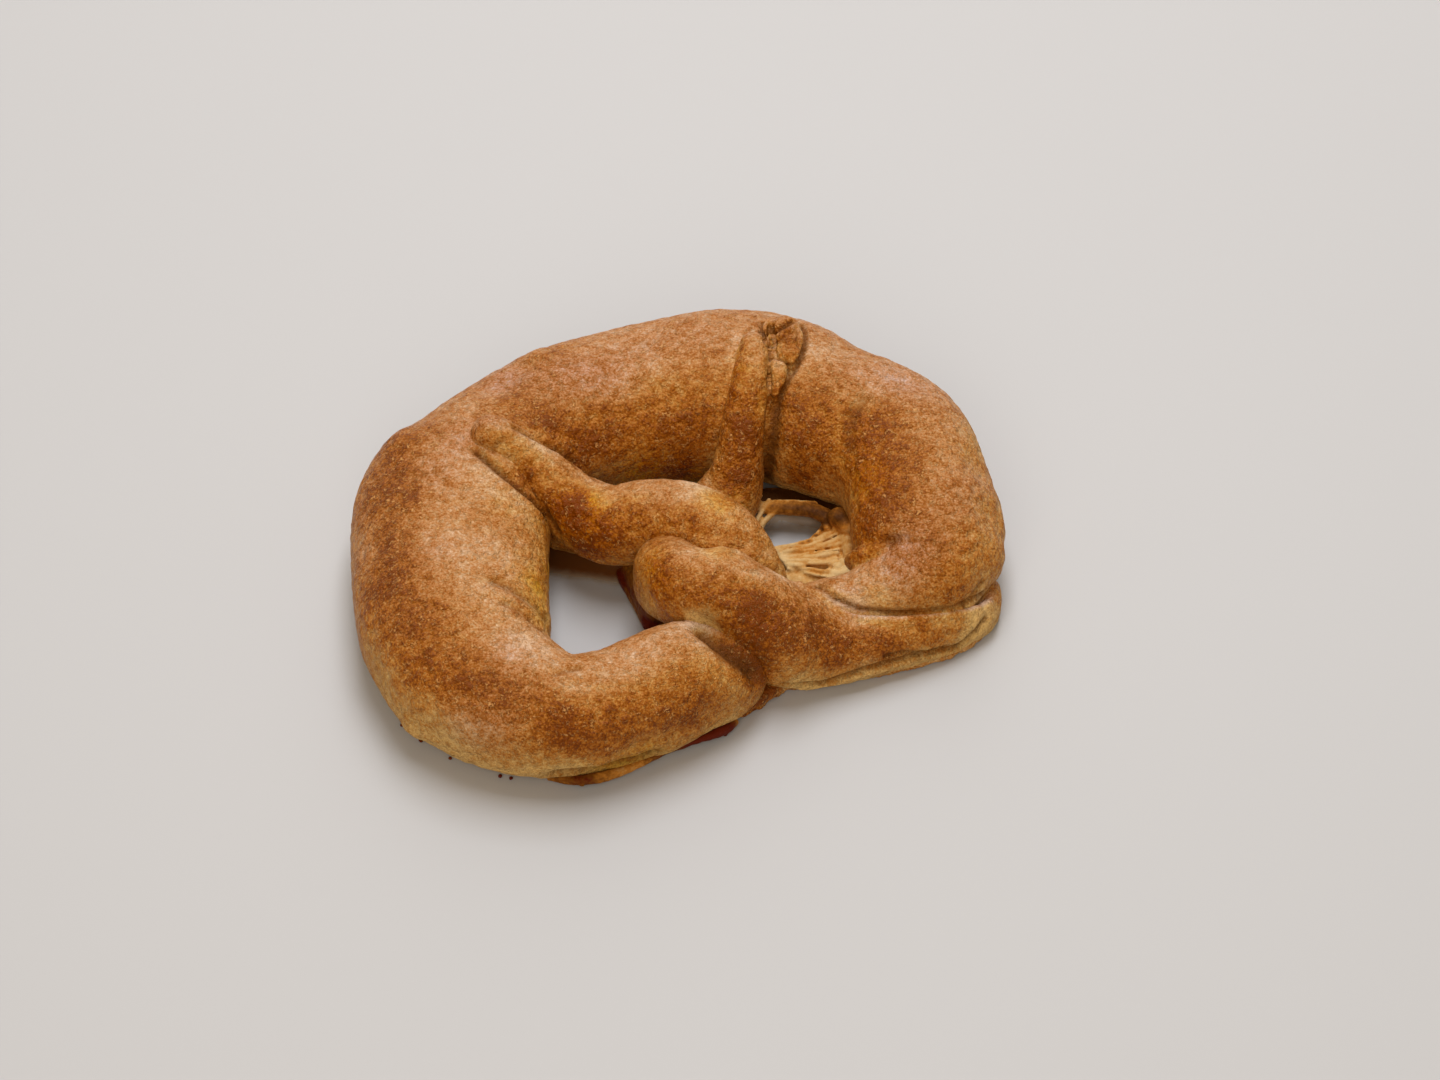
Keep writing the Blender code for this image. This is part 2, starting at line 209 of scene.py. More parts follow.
PALE_SPOTS = (
    (470, 405, 9, 0.12), (500, 482, 8, 0.22), (520, 505, 7, 0.14), (488, 560, 11, 0.20),
    (530, 590, 9, 0.10), (455, 600, 11, 0.14), (520, 640, 8, 0.30), (545, 625, 6, 0.20),
    (745, 680, 6, 0.26), (640, 660, 7, 0.20), (590, 690, 6, 0.14), (700, 640, 4, 0.28),
    (660, 752, 6, 0.22), (712, 455, 4, 0.34), (700, 484, 6, 0.50), (812, 345, 6, 0.26),
    (800, 372, 3, 0.20), (775, 480, 5, 0.10), (800, 682, 6, 0.30), (860, 672, 6, 0.26),
    (920, 655, 5, 0.26), (975, 630, 6, 0.42), (648, 606, 4, 0.40), (700, 618, 3, 0.32),
    (880, 618, 3, 0.42), (940, 616, 3, 0.46), (985, 606, 3, 0.46), (739, 340, 1.6, 0.46),
    (734, 349, 1.8, 0.52), (729, 358, 1.8, 0.44), (781, 363, 1.4, 0.30), (786, 370, 1, 0.30),
    (860, 400, 3, 0.20), (975, 440, 8, 0.20), (590, 478, 5, 0.24), (600, 498, 3, 0.26),
    (535, 440, 4, 0.26), (430, 520, 8, 0.12), (720, 555, 6, 0.16), (450, 718, 9, 0.24),
    (645, 492, 5, 0.20), (690, 496, 5, 0.28), (725, 508, 5, 0.24), (905, 372, 8, 0.16),
    (700, 345, 10, 0.12), (600, 345, 9, 0.12), (430, 455, 5, 0.10), (525, 452, 4, 0.14),
    (552, 480, 4, 0.14), (448, 425, 7, 0.16), (650, 385, 9, 0.10), (560, 425, 7, 0.12),
    (880, 616, 3, 0.14), (650, 745, 8, 0.14), (560, 762, 7, 0.12), (695, 560, 6, 0.08),
    (630, 462, 7, 0.16), (850, 572, 4, 0.20), (905, 572, 5, 0.12), (780, 572, 4, 0.2),
    (505, 655, 6, 0.22), (365, 540, 6, 0.20), (380, 670, 6, 0.16), (500, 385, 5, 0.16),
    (735, 535, 5, 0.16), (756, 577, 4, 0.30), (728, 722, 4, 0.22), (830, 598, 5, 0.20),
    (545, 452, 5, 0.20), (480, 425, 5, 0.18), (592, 475, 5, 0.16), (855, 602, 5, 0.26),
    (880, 562, 6, 0.12), (780, 575, 4, 0.28), (682, 624, 3, 0.30), (707, 624, 4, 0.34),
    (842, 606, 4, 0.16), (378, 645, 8, 0.14), (385, 692, 8, 0.20), (425, 738, 8, 0.20),
    (455, 752, 7, 0.18), (480, 766, 6, 0.16), (515, 772, 6, 0.20), (545, 774, 6, 0.24),
    (578, 772, 6, 0.26), (605, 750, 6, 0.14), (505, 378, 6, 0.10), (570, 378, 9, 0.10),
    (708, 672, 5, 0.16), (558, 652, 6, 0.14), (480, 455, 6, 0.08), (780, 575, 3, 0.24),
    (580, 773, 4, 0.20), (548, 450, 4, 0.10), (860, 618, 3, 0.30), (900, 620, 3, 0.30),
    (970, 612, 3, 0.30), (692, 622, 3, 0.20), (705, 622, 4, 0.16), (500, 450, 4, 0.10),
    (880, 618, 5, 0.12), (940, 617, 5, 0.12), (860, 380, 7, 0.10), (520, 450, 5, 0.10),
    (550, 480, 5, 0.10), (500, 765, 5, 0.12), (560, 773, 5, 0.12), (620, 765, 5, 0.12),
    (600, 430, 7, 0.10), (650, 430, 7, 0.12), (375, 560, 6, 0.10), (385, 500, 6, 0.08),
    (500, 480, 8, 0.08), (470, 470, 8, 0.08),
)

# Places of painted sheen, which makes the glaze pinkish, and places painted a
# deeper orange, partly the glaze's own colour and partly painted shade
PAINTED_SHEEN_SPOTS = (
    (505, 378, 7, 0.5), (560, 372, 7, 0.4), (600, 378, 9, 0.6), (640, 340, 9, 0.2),
    (700, 335, 9, 0.2), (860, 375, 7, 0.2), (905, 378, 8, 0.5), (905, 540, 8, 0.8),
    (905, 580, 7, 0.6), (855, 600, 5, 0.5), (960, 500, 8, 0.3), (505, 712, 9, 0.6),
    (470, 730, 8, 0.3), (505, 655, 6, 0.3), (400, 470, 6, 0.2), (455, 440, 8, 0.3),
    (480, 425, 6, 0.3), (430, 475, 7, 0.3), (355, 520, 7, 0.5), (430, 550, 6, 0.2),
    (855, 425, 5, 0.1), (690, 600, 6, 0.2), (655, 520, 5, 0.1), (640, 660, 7, 0.1),
    (800, 640, 6, 0.3), (870, 650, 7, 0.3), (980, 600, 5, 0.3), (400, 625, 7, 0.3),
    (555, 400, 7, 0.2), (357, 560, 7, 0.5), (362, 600, 6, 0.3), (505, 376, 6, 0.4),
    (455, 700, 6, 0.3), (930, 550, 6, 0.3), (800, 620, 5, 0.2),
)
DEEP_GLAZE_AND_SHADE_SPOTS = (
    (655, 472, 8, 0.6), (684, 474, 5, 0.4), (586, 502, 6, 0.7), (565, 525, 6, 0.4),
    (716, 500, 6, 0.5), (735, 492, 4, 0.3), (870, 480, 7, 0.6), (852, 455, 5, 0.2),
    (535, 585, 5, 0.7), (540, 615, 4, 0.3), (655, 556, 4, 0.6), (718, 552, 6, 0.5),
    (755, 625, 5, 0.3), (615, 772, 6, 0.5), (645, 760, 5, 0.5), (740, 350, 3, 0.4),
    (739, 372, 2.5, 0.6), (733, 395, 3, 0.5), (864, 532, 5, 0.4), (660, 590, 4, 0.4),
    (500, 505, 6, 0.2), (380, 450, 6, 0.2), (755, 402, 4, 0.2), (576, 510, 5, 0.3),
    (604, 532, 5, 0.4), (655, 542, 5, 0.4), (870, 430, 7, 0.4), (655, 570, 4, 0.4),
    (680, 475, 5, 0.3), (725, 500, 5, 0.3), (555, 350, 5, 0.4), (405, 478, 5, 0.3),
    (642, 476, 7, 0.3), (580, 503, 5, 0.4), (548, 575, 5, 0.5), (590, 550, 6, 0.3),
    (505, 402, 5, 0.3), (880, 475, 6, 0.3), (868, 548, 5, 0.25), (630, 500, 5, 0.3),
    (680, 478, 5, 0.3),
)

# Folds pressed into the crust, or raised on it: width and height in
# millimetres (below zero for a groove) and the points that each follows.
FOLDS = (
    (3.0, -3.2, ((705, 630), (718, 640), (731, 650), (745, 661), (757, 673), (766, 685))),
    (1.3, 1.2, ((800, 585), (818, 595), (838, 610), (860, 619), (898, 622), (940, 618), (970, 612),
                (988, 604))),
    (0.7, -1.2, ((790, 568), (817, 584), (836, 598), (858, 609), (880, 612), (900, 613), (940, 609),
                 (968, 602), (985, 592))),
    (1.0, -1.5, ((476, 452), (492, 465), (506, 477), (520, 489), (535, 502), (548, 516), (558, 531))),
    (1.0, -0.8, ((514, 428), (532, 437), (552, 448), (574, 462), (600, 480))),
    (1.8, -1.8, ((776, 408), (774, 426), (771, 446), (768, 466), (766, 482))),
    (0.9, -1.3, ((771, 326), (771, 333), (772, 340), (771, 346))),
    (0.8, -1.2, ((794, 320), (786, 325), (779, 328), (773, 333))),
    (0.8, -1.3, ((803, 324), (806, 336), (804, 348), (800, 360), (793, 372))),
    (0.7, -1.2, ((764, 322), (762, 332), (765, 342), (769, 352))),
    (0.7, -1.3, ((770, 357), (780, 359), (788, 366), (790, 376), (783, 390), (778, 403))),
    (0.6, -1.0, ((769, 360), (769, 375), (770, 390), (772, 402))),
    (0.6, -0.5, ((790, 333), (784, 337), (777, 341), (774, 346))),
    (0.6, -0.5, ((797, 327), (799, 336), (798, 346))),
    (0.7, -0.5, ((504, 439), (497, 444), (493, 452))),
    (3.2, 1.3, ((712, 549), (730, 553), (750, 558), (768, 565))),
    (1.3, 0.5, ((553, 775), (578, 769), (603, 764), (628, 756), (653, 749), (677, 739), (699, 729),
                (717, 719))),
    (2.8, -3.4, ((560, 779), (580, 779), (603, 776), (628, 768), (653, 759), (677, 749), (695, 741))),
    (1.5, -0.7, ((495, 582), (515, 592), (535, 606), (546, 620))),
    (1.5, -0.5, ((505, 604), (528, 618), (546, 634))),
    (2.0, -0.6, ((862, 400), (850, 424), (850, 446))),
    (0.8, -0.6, ((558, 673), (568, 670), (580, 668))),
    (0.8, -0.8, ((976, 606), (985, 596), (992, 584))),
    (0.8, -0.8, ((966, 605), (975, 594), (983, 582))),
    (0.8, -1.1, ((784, 684), (820, 683), (844, 677), (868, 669), (892, 662), (912, 657), (940, 651),
                 (958, 646), (976, 632), (986, 619))),
    (0.7, -0.9, ((886, 657), (905, 653), (925, 654), (945, 648))),
    (1.0, 0.7, ((800, 687), (830, 684), (856, 677), (880, 671), (905, 663), (935, 655), (958, 649))),
)

# Places where the dough swells or sinks as a whole: across, down, radius and
# lift in millimetres.
SWELLINGS = (
    (500, 382, 6, -2.0), (524, 366, 4, -1.2), (642, 336, 9, -1.6), (844, 346, 6, -0.9),
    (908, 378, 7, -1.8), (980, 466, 7, -1.7), (993, 512, 6, -1.4), (998, 562, 5, 1.5),
    (402, 440, 6, 2.0), (538, 356, 4, 1.4), (710, 314, 7, 1.0), (768, 694, 4, -1.2),
    (374, 668, 6, -0.9), (575, 776, 5, -1.3), (600, 776, 5, -1.0), (622, 760, 4, -1.0),
    (648, 748, 4, -1.4), (674, 738, 4, -1.2), (440, 742, 6, -0.9), (472, 756, 5, -0.8),
    (412, 728, 4, 1.4), (1000, 592, 4, 0.9),
)

# The skin of cheese, given at the photograph's points: its runs, and its lumps
# as across, down, height above the floor and radius
SKIN_RUNS = (
    ((772, 551, 3.2, 1.2, 0.7), (786, 552, 3.4, 1.6, 0.7), (805, 548, 3.6, 1.7, 0.7),
     (820, 541, 4, 2, 0.7), (832, 531, 4.4, 2.4, 0.8), (846, 523, 4.8, 2.4, 1)),
    ((774, 560, 3, 2.6, 0.6), (800, 560, 3, 3, 0.6), (822, 557, 3.4, 3.4, 0.7),
     (842, 548, 4, 3.4, 0.9), (852, 540, 4.6, 2.4, 1)),
    ((776, 565, 3.2, 1.6, 0.7), (800, 568, 3.4, 1.8, 0.7), (824, 566, 3.8, 2, 0.8),
     (846, 557, 4.4, 2, 0.9)),
    ((782, 571, 2.8, 3.4, 0.8), (806, 575, 3, 3.6, 0.8), (830, 572, 3.2, 3.2, 0.9),
     (848, 566, 3.6, 2.6, 1)),
    ((848, 522, 6, 2, 1.4), (847, 535, 5.6, 1.9, 1.6), (849, 550, 5.4, 1.8, 1.7),
     (852, 564, 5, 1.6, 1.6)),
    ((754, 509, 6.4, 1.6, 1.2), (770, 507, 7, 1.9, 1.5), (790, 508, 7.2, 2, 1.5),
     (812, 510, 7.2, 2.1, 1.5), (828, 517, 6.6, 2.4, 1.5), (842, 524, 6, 2.2, 1.4)),
    # This low flat run lies behind the ledge, and its spots colour it dark as painted shade in the
    # slot under the ring
    ((752, 498, 3.4, 3, 0.8), (780, 497, 3.4, 3.4, 0.8), (812, 500, 3.4, 3.6, 0.8),
     (838, 512, 3.6, 3.6, 0.9)),
    ((830, 512, 8, 2.8, 2.2), (842, 520, 8, 2.6, 2.4), (850, 534, 7, 1.6, 2)),
    ((771, 501, 8, 0.3, 0.4), (785, 500.5, 8.4, 0.26, 0.3), (800, 501, 8.5, 0.26, 0.3),
     (818, 502, 8.4, 0.2, 0.3)),
    ((778, 510, 7.4, 0.6, 0.6), (770, 516, 6.4, 0.7, 0.7), (762, 524, 5.4, 0.8, 0.8),
     (757, 535, 4.4, 0.9, 0.8)),
    ((770, 498, 8, 0.5, 0.5), (764, 508, 7.4, 0.6, 0.6), (758, 518, 6.8, 0.7, 0.7),
     (752, 528, 6.4, 0.7, 0.7)),
    ((762, 494, 8.6, 0.45, 0.5), (757, 503, 8.4, 0.5, 0.5), (753, 513, 8, 0.6, 0.6)),
    ((784, 573, 3.8, 2.4, 0.6), (806, 578, 4, 2.6, 0.6), (828, 579, 4, 2.4, 0.7),
     (845, 573, 4.2, 2, 0.8)),
    ((793, 547, 4.4, 0.45, 0.5), (808, 541, 4.6, 0.5, 0.5), (817, 533.5, 5, 0.5, 0.5),
     (825, 523, 5.4, 0.6, 0.6)),
)
SKIN_LUMPS = (
    (848, 560, 6.4, 1.1), (851, 566, 6, 1.4), (846, 570, 5.8, 1.5), (839, 574, 5.6, 1.5),
    (849, 576, 5.6, 1.3), (832, 578, 5.4, 1.3), (842, 579, 5.2, 1.2), (826, 526, 6, 1.1),
    (832, 522, 6.4, 1.2), (836, 529, 6, 1), (829, 571, 4.6, 1.1), (820, 574, 4.4, 1),
    (838, 567, 6, 1.5), (846, 573, 6.2, 1.6), (834, 573, 5.8, 1.3), (851, 560, 6.6, 1.3),
    (843, 562, 6, 1.2),
)
# Spots of the skin that browned more, some of them painted shade on the ledge
# and in the slot behind it, and spots that stayed pale
SKIN_BROWN_AND_SHADE_SPOTS = (
    # The first spots here darken the ledge and the low run behind it: browned cheese, with painted
    # shade in the slot under the ring
    (760, 494, 3, 0.6), (775, 496, 4, 0.7), (795, 497, 4, 0.7), (815, 500, 4, 0.7),
    (832, 507, 4, 0.6), (772, 507, 2.2, 0.34), (785, 508, 2.6, 0.42), (798, 509, 2.6, 0.44),
    (810, 510, 2.6, 0.44), (822, 514, 3, 0.52), (836, 518, 3.4, 0.44), (846, 515, 3.4, 0.40),
    (825, 523, 1.2, 0.3), (821, 529, 0.9, 0.5), (815, 535, 0.9, 0.5), (809, 540, 0.9, 0.4),
    (802, 543, 0.9, 0.3), (795, 550.5, 1.3, 0.16), (803, 550.5, 1.3, 0.20), (811, 550.5, 1.3, 0.20),
    (819, 549.5, 1.3, 0.20), (828, 547.5, 1.3, 0.16), (808, 566.5, 1, 0.20), (814, 569.5, 1, 0.32),
    (821, 571.5, 1, 0.36), (828, 570.5, 1, 0.24), (848, 542, 1.8, 0.14), (852, 552, 1.6, 0.22),
    (853, 560, 1.2, 0.22), (826, 541, 1.2, 0.10),
)
SKIN_PALE_SPOTS = (
    (780, 557, 2.8, 0.20), (788, 563, 2.4, 0.18), (848, 566, 3, 0.16), (840, 575, 3, 0.22),
    (832, 578, 2.4, 0.22), (838, 532, 1.6, 0.12), (802, 501, 0.6, 0.2), (788, 501, 0.6, 0.2),
    (760, 520, 2.2, 0.10), (756, 506, 2, 0.10),
)

# The cheese that leaked out along the front and beside the knob
LEAK_RUNS = (
    ((546, 778, 0.8, 0.6, 0.6), (556, 779, 1, 0.7, 0.7), (566, 780, 1.3, 1, 1),
     (581, 780, 1.8, 1.3, 1.2), (600, 777, 2, 1.4, 1.3), (616, 773, 2.2, 1.2, 1.2),
     (634, 766, 2.2, 1, 1), (650, 759, 2.2, 0.8, 0.8), (664, 752, 2.2, 0.8, 0.8),
     (682, 745.5, 2.2, 0.8, 0.8), (700, 739, 2.4, 0.9, 0.9), (712, 735, 2.4, 1, 1.1),
     (722, 730.5, 2.2, 1.3, 1.3), (731, 725.5, 2, 1.1, 1.1), (738, 720, 2, 0.7, 0.7)),
    ((619, 569, 2.4, 1.2, 1.4), (625, 577, 2.6, 2, 1.9), (631, 588, 2.4, 2, 1.9),
     (637, 600, 2.2, 1.7, 1.8), (642, 611, 2, 1.5, 1.8), (647, 622, 2, 1.5, 1.8),
     (651, 630, 1.8, 1.4, 1.7)),
    ((646, 616, 1.6, 2.4, 1.6), (654, 624, 1.6, 2.6, 1.6), (664, 628, 1.6, 2.4, 1.6)),
    ((626, 566, 3.4, 2.6, 3), (636, 580, 4, 2.9, 4), (641, 594, 4, 2.5, 4), (648, 608, 4, 2.4, 4),
     (658, 622, 3.6, 2.2, 3.4)),
)
LEAK_LUMPS = (
    (402, 725, 0.5, 0.6), (421, 740, 0.5, 0.7), (450, 758, 0.5, 0.6), (500, 776, 0.5, 0.7),
    (511, 778, 0.5, 0.6), (590, 777, 2.6, 1), (574, 780, 2, 1), (582, 783, 1.6, 1),
    (604, 774, 2.8, 0.7), (600, 780, 1.8, 1), (616, 771, 3, 0.6), (632, 765, 2.6, 0.8),
    (644, 761, 2.2, 0.6), (720, 732, 2, 0.7), (727, 729, 1.8, 0.8), (716, 734.5, 1.2, 0.6),
    (725, 734, 1, 0.7), (672, 748, 2.6, 0.6), (690, 742, 2.4, 0.5), (706, 737, 2.2, 0.6),
    (731, 726, 2, 0.8), (736, 722, 1.8, 0.6), (711, 738, 1, 0.5), (627, 582, 3.4, 1.3),
    (622, 574, 3.2, 1), (633, 590, 3, 1.1), (640, 604, 2.6, 1), (645, 617, 2.4, 0.9),
)
LEAK_DARK_SPOTS = (
    (402, 725, 2, 0.5), (421, 740, 2, 0.5), (450, 758, 2, 0.5), (500, 776, 2, 0.5),
    (511, 778, 2, 0.5), (556, 780, 2.4, 0.16), (592, 781, 3, 0.22), (576, 780, 2.4, 0.24),
    (664, 751, 3, 0.26), (682, 747, 3.4, 0.30), (700, 740, 3.4, 0.42), (713, 735, 3, 0.5),
    (726, 731, 3, 0.8), (647, 628, 2.2, 0.5), (652, 633, 2, 0.5), (618, 575, 3, 0.3),
    (622, 583, 3, 0.3), (632, 594, 3, 0.2), (640, 606, 3, 0.16), (646, 622, 2.6, 0.2),
    (650, 758, 3, 0.14),
)
LEAK_PALE_SPOTS = (
    (640, 766, 3, 0.16), (620, 770, 2.4, 0.16), (600, 775, 1.6, 0.18),
)

# Thin sheets on the floor under the bridge and in the right opening. They are
# mostly painted shadow, tinted warm by light thrown back from the crust, and in
# part baked fat and cheese: how far they reach in millimetres, how much they
# hide, and the points that each follows.
SHADOW_AND_FAT_FILMS = (
    (7.5, 1.1, ((552, 556), (575, 560), (600, 563), (622, 567), (640, 572))),
    (6.5, 0.6, ((764, 516), (785, 514), (806, 516), (822, 521))),
)

# The thin torn layers of dough under the right arm
LAYER_RUNS = (
    ((764, 687, 1.6, 1, 1), (780, 685, 1.5, 1.4, 1.2), (800, 683, 1.3, 1.4, 1.1),
     (820, 681.5, 1.2, 1.4, 1), (842, 679, 1.2, 1.4, 1), (862, 675, 1.2, 1.4, 1.1),
     (884, 670, 1.2, 1.4, 1.1), (906, 665.5, 1.2, 1.4, 1), (930, 659, 1.2, 1.4, 1),
     (952, 651.5, 1.4, 1.4, 1.1), (970, 642, 1.6, 1.3, 1.2), (984, 630, 1.8, 1.1, 1.2),
     (993, 618, 2, 0.8, 1)),
    ((886, 662, 3.2, 1, 0.8), (902, 659, 3.4, 1.3, 0.9), (920, 656, 3.4, 1.3, 0.9),
     (938, 649, 3.4, 1.2, 0.9), (955, 642, 3.4, 1.1, 0.9), (970, 632, 3.4, 0.9, 0.8)),
    ((730, 712, 3.4, 1, 1.2), (740, 707, 3.6, 2, 1.6), (750, 700, 4, 2.2, 2),
     (760, 694, 4, 2.6, 2.2), (770, 688, 4, 2.4, 2), (782, 683, 3.4, 1.6, 1.6)),
    ((737, 716, 1, 0.7, 0.7), (744, 712, 1.2, 1.3, 0.9), (752, 707, 1.2, 0.9, 0.8),
     (760, 702, 1.2, 1.6, 1), (768, 697, 1.2, 1, 0.8), (777, 692, 1, 1.2, 0.7),
     (786, 688, 0.8, 0.6, 0.5)),
)
# Spots that brown the layers more; those at the corner by the near lobe are painted shade, as that
# corner lies in shadow
LAYER_BROWN_AND_SHADE_SPOTS = (
    (758, 698, 5, 0.46), (742, 709, 4, 0.48), (776, 689, 4, 0.48), (890, 671, 5, 0.12),
    (912, 664, 5, 0.10), (766, 690, 2, 0.30),
)
LAYER_LUMPS = (
    (738, 712, 2.6, 0.9), (743, 707, 3.4, 1), (748, 709, 1.6, 0.8), (754, 700, 4, 0.9),
    (757, 704, 1.8, 0.9), (763, 699, 2, 0.9), (766, 690, 4.6, 0.9), (771, 695, 1.6, 0.8),
    (776, 687, 3, 0.9), (745, 702, 4.4, 0.8), (760, 691, 5, 0.8), (818, 683, 1, 0.7),
    (836, 680.5, 1, 0.8), (858, 677, 1, 0.8), (873, 673.5, 1, 0.9), (899, 668.5, 1, 0.8),
    (921, 663, 1, 0.8), (944, 655.5, 1, 0.8), (963, 647, 1.2, 0.8), (893, 661, 4, 0.8),
    (911, 658, 4, 0.9), (930, 652, 4, 0.8),
)

# The photograph's size in pixels, and the width of the camera's sensor
PHOTO_WIDTH = 1440
PHOTO_HEIGHT = 1080
SENSOR_WIDTH = 36

# Unevenness of the dough: the distance between its swells, waves and bubbles,
# how high a wave is beside a swell, and how far a hollow is pressed at most
SWELL_SPACING = 24 * MM
WAVE_SPACING = 9 * MM
BUBBLE_SPACING = 2.4 * MM
WAVE_SHARE = 0.4
DEEPEST_HOLLOW = 0.6 * MM

# How brown the crust is: all over, more on top, less in hollows and near the
# floor, and how that drifts. Near the floor it is paler in part for its pale rim
# and in part as painted fill light on the shaded foot. The hollows of full depth
# are the palest, and the grooves of full depth get the darkest painted shade.
BROWN_ALL_OVER = 0.38
BROWN_ON_TOP = 0.12
PALE_IN_HOLLOWS = 0.12
PALE_AND_LIT_FOOT = 0.52
BROWN_DRIFT = 0.08
DRIFT_SPACING = 18 * MM
FOOT_HEIGHT = 9 * MM
FULL_HOLLOW = 0.35 * MM
FULL_GROOVE = 1.4 * MM

# Direction of the sheen painted into the crust's colour, above and behind, how
# far a face turns to it before the painted sheen shows, how much of it is painted
# as a pinkish sheen, and how much painted shade darkens the sides turned away
SHEEN_FROM = (0, 0.60, 0.80)
SHEEN_START = 0.35
SHEEN_RANGE = 0.5
PINK_SHEEN = 0.3
SHADED_SIDE_SHARE = 0.4

# Patterns of the crust: how far apart they are, and their shares in the tone,
# the shade, the relief and the roughness. The creases' shares are painted shade,
# and the specks are pale blister tops painted brighter as glints.
PATCH_SPACING = 9 * MM
MOTTLE_SPACING = 2.6 * MM
BEAD_SPACING = 0.6 * MM
PATCH_TONE = 0.4
MOTTLE_TONE = 1.1
BEAD_TONE = 1.2
CREASE_SHADE_TONE = 0.3
PIT_SHADE = 0.95
GLINT_SPECK_SHARE = 0.6
CREVICE_SHADE_SHARE = 0.85
DOME_RELIEF = 0.22
BEAD_RELIEF = 0.12
MOTTLE_RELIEF = 0.8
SPECK_RELIEF = 0.12
CRUST_RELIEF = 2.8 * MM
MOTTLE_ROUGHNESS = 0.3
HOLLOW_ROUGHNESS = 0.2
PALE_ROUGHNESS = 0.22

# Patterns of the cheese, in the same way, and of the film's ragged rim
CURD_SPACING = 1.6 * MM
FINE_SPACING = 0.5 * MM
CURD_TONE = 0.5
FINE_TONE = 0.25
FINE_RELIEF = 0.4
CHEESE_RELIEF = 0.3 * MM
CURD_ROUGHNESS = 0.3
RIM_SPACING = 3 * MM
RIM_SHARE = 0.3

# Thin runs: sides and step of a rope, how flat a lump is, and the distance
# between large and small bumps. Hollows of this depth are painted darker by this
# share as shade, and what stands out is painted lighter, down to this limit.
THIN_SIDES = 14
THIN_STEP = 0.45 * MM
LUMP_FLATNESS = 0.8
LARGE_BUMP_SPACING = 2.2 * MM
SMALL_BUMP_SPACING = 0.9 * MM
SMALL_BUMP_SHARE = 0.5
SHADED_HOLLOW = 0.2 * MM
HOLLOW_SHADE_SHARE = 0.34
RAISED_LIGHT_LIMIT = -0.6

# Strands of the skin, at the photograph's points: where the upper and the lower
# one start and end, how far they stray and sag, their height in millimetres and
# its range, and the range of their widths
STRAND_STARTS = ((771, 548), (786, 567))
STRAND_ENDS = ((843, 528), (838, 571))
STRAND_SPREAD = 0.06
STRAND_WANDER = 0.8
STRAND_SAG = 4.5
SAG_FADE = 1.6
STRAND_HEIGHT = 4.1
STRAND_LIFTS = (-0.3, 1.1)
STRAND_WIDTHS = (0.6, 1.5)
STRAND_FLATNESS = 0.9

# Layers under the arm: how brown they are and how that drifts, how hollow they
# are, and how much painted shade darkens their colour where they lie low in shadow
LAYER_BROWN = 0.30
LAYER_DRIFT = 0.25
LAYER_SPACING = 1.8 * MM
LAYER_HOLLOW = 0.4
LAYER_SIDE_SHADE = 0.15

# Height of the films in millimetres, reach of the floor in metres, and how far
# it lies below the pretzel's foot
FILM_HEIGHT = 0.3
FLOOR_REACH = 3
FLOOR_DROP = 0.05 * MM

# Soft lights: place, width and depth in metres, colour, and whether the gloss
# shows them. The stage's settings hold their power.
LIGHTS = {
    "soft_box": ((0.04, 0.42, 1.22), 0.55, 1.0, (1, 1, 1), True),
    "back_panel": ((0.0, 1.25, 0.65), 1.1, 1.1, (1, 0.93, 0.86), True),
    "front_panel": ((-0.2, -1.2, 0.9), 1.0, 1.0, (1, 0.9, 0.76), False),
}

# How the sidebar shows a colour, a tint and a light's power
COLOUR = {"subtype": "COLOR", "min": 0, "max": 1}
TINT = {"subtype": "COLOR", "min": 0, "max": 2}
POWER = {"subtype": "POWER", "min": 0}


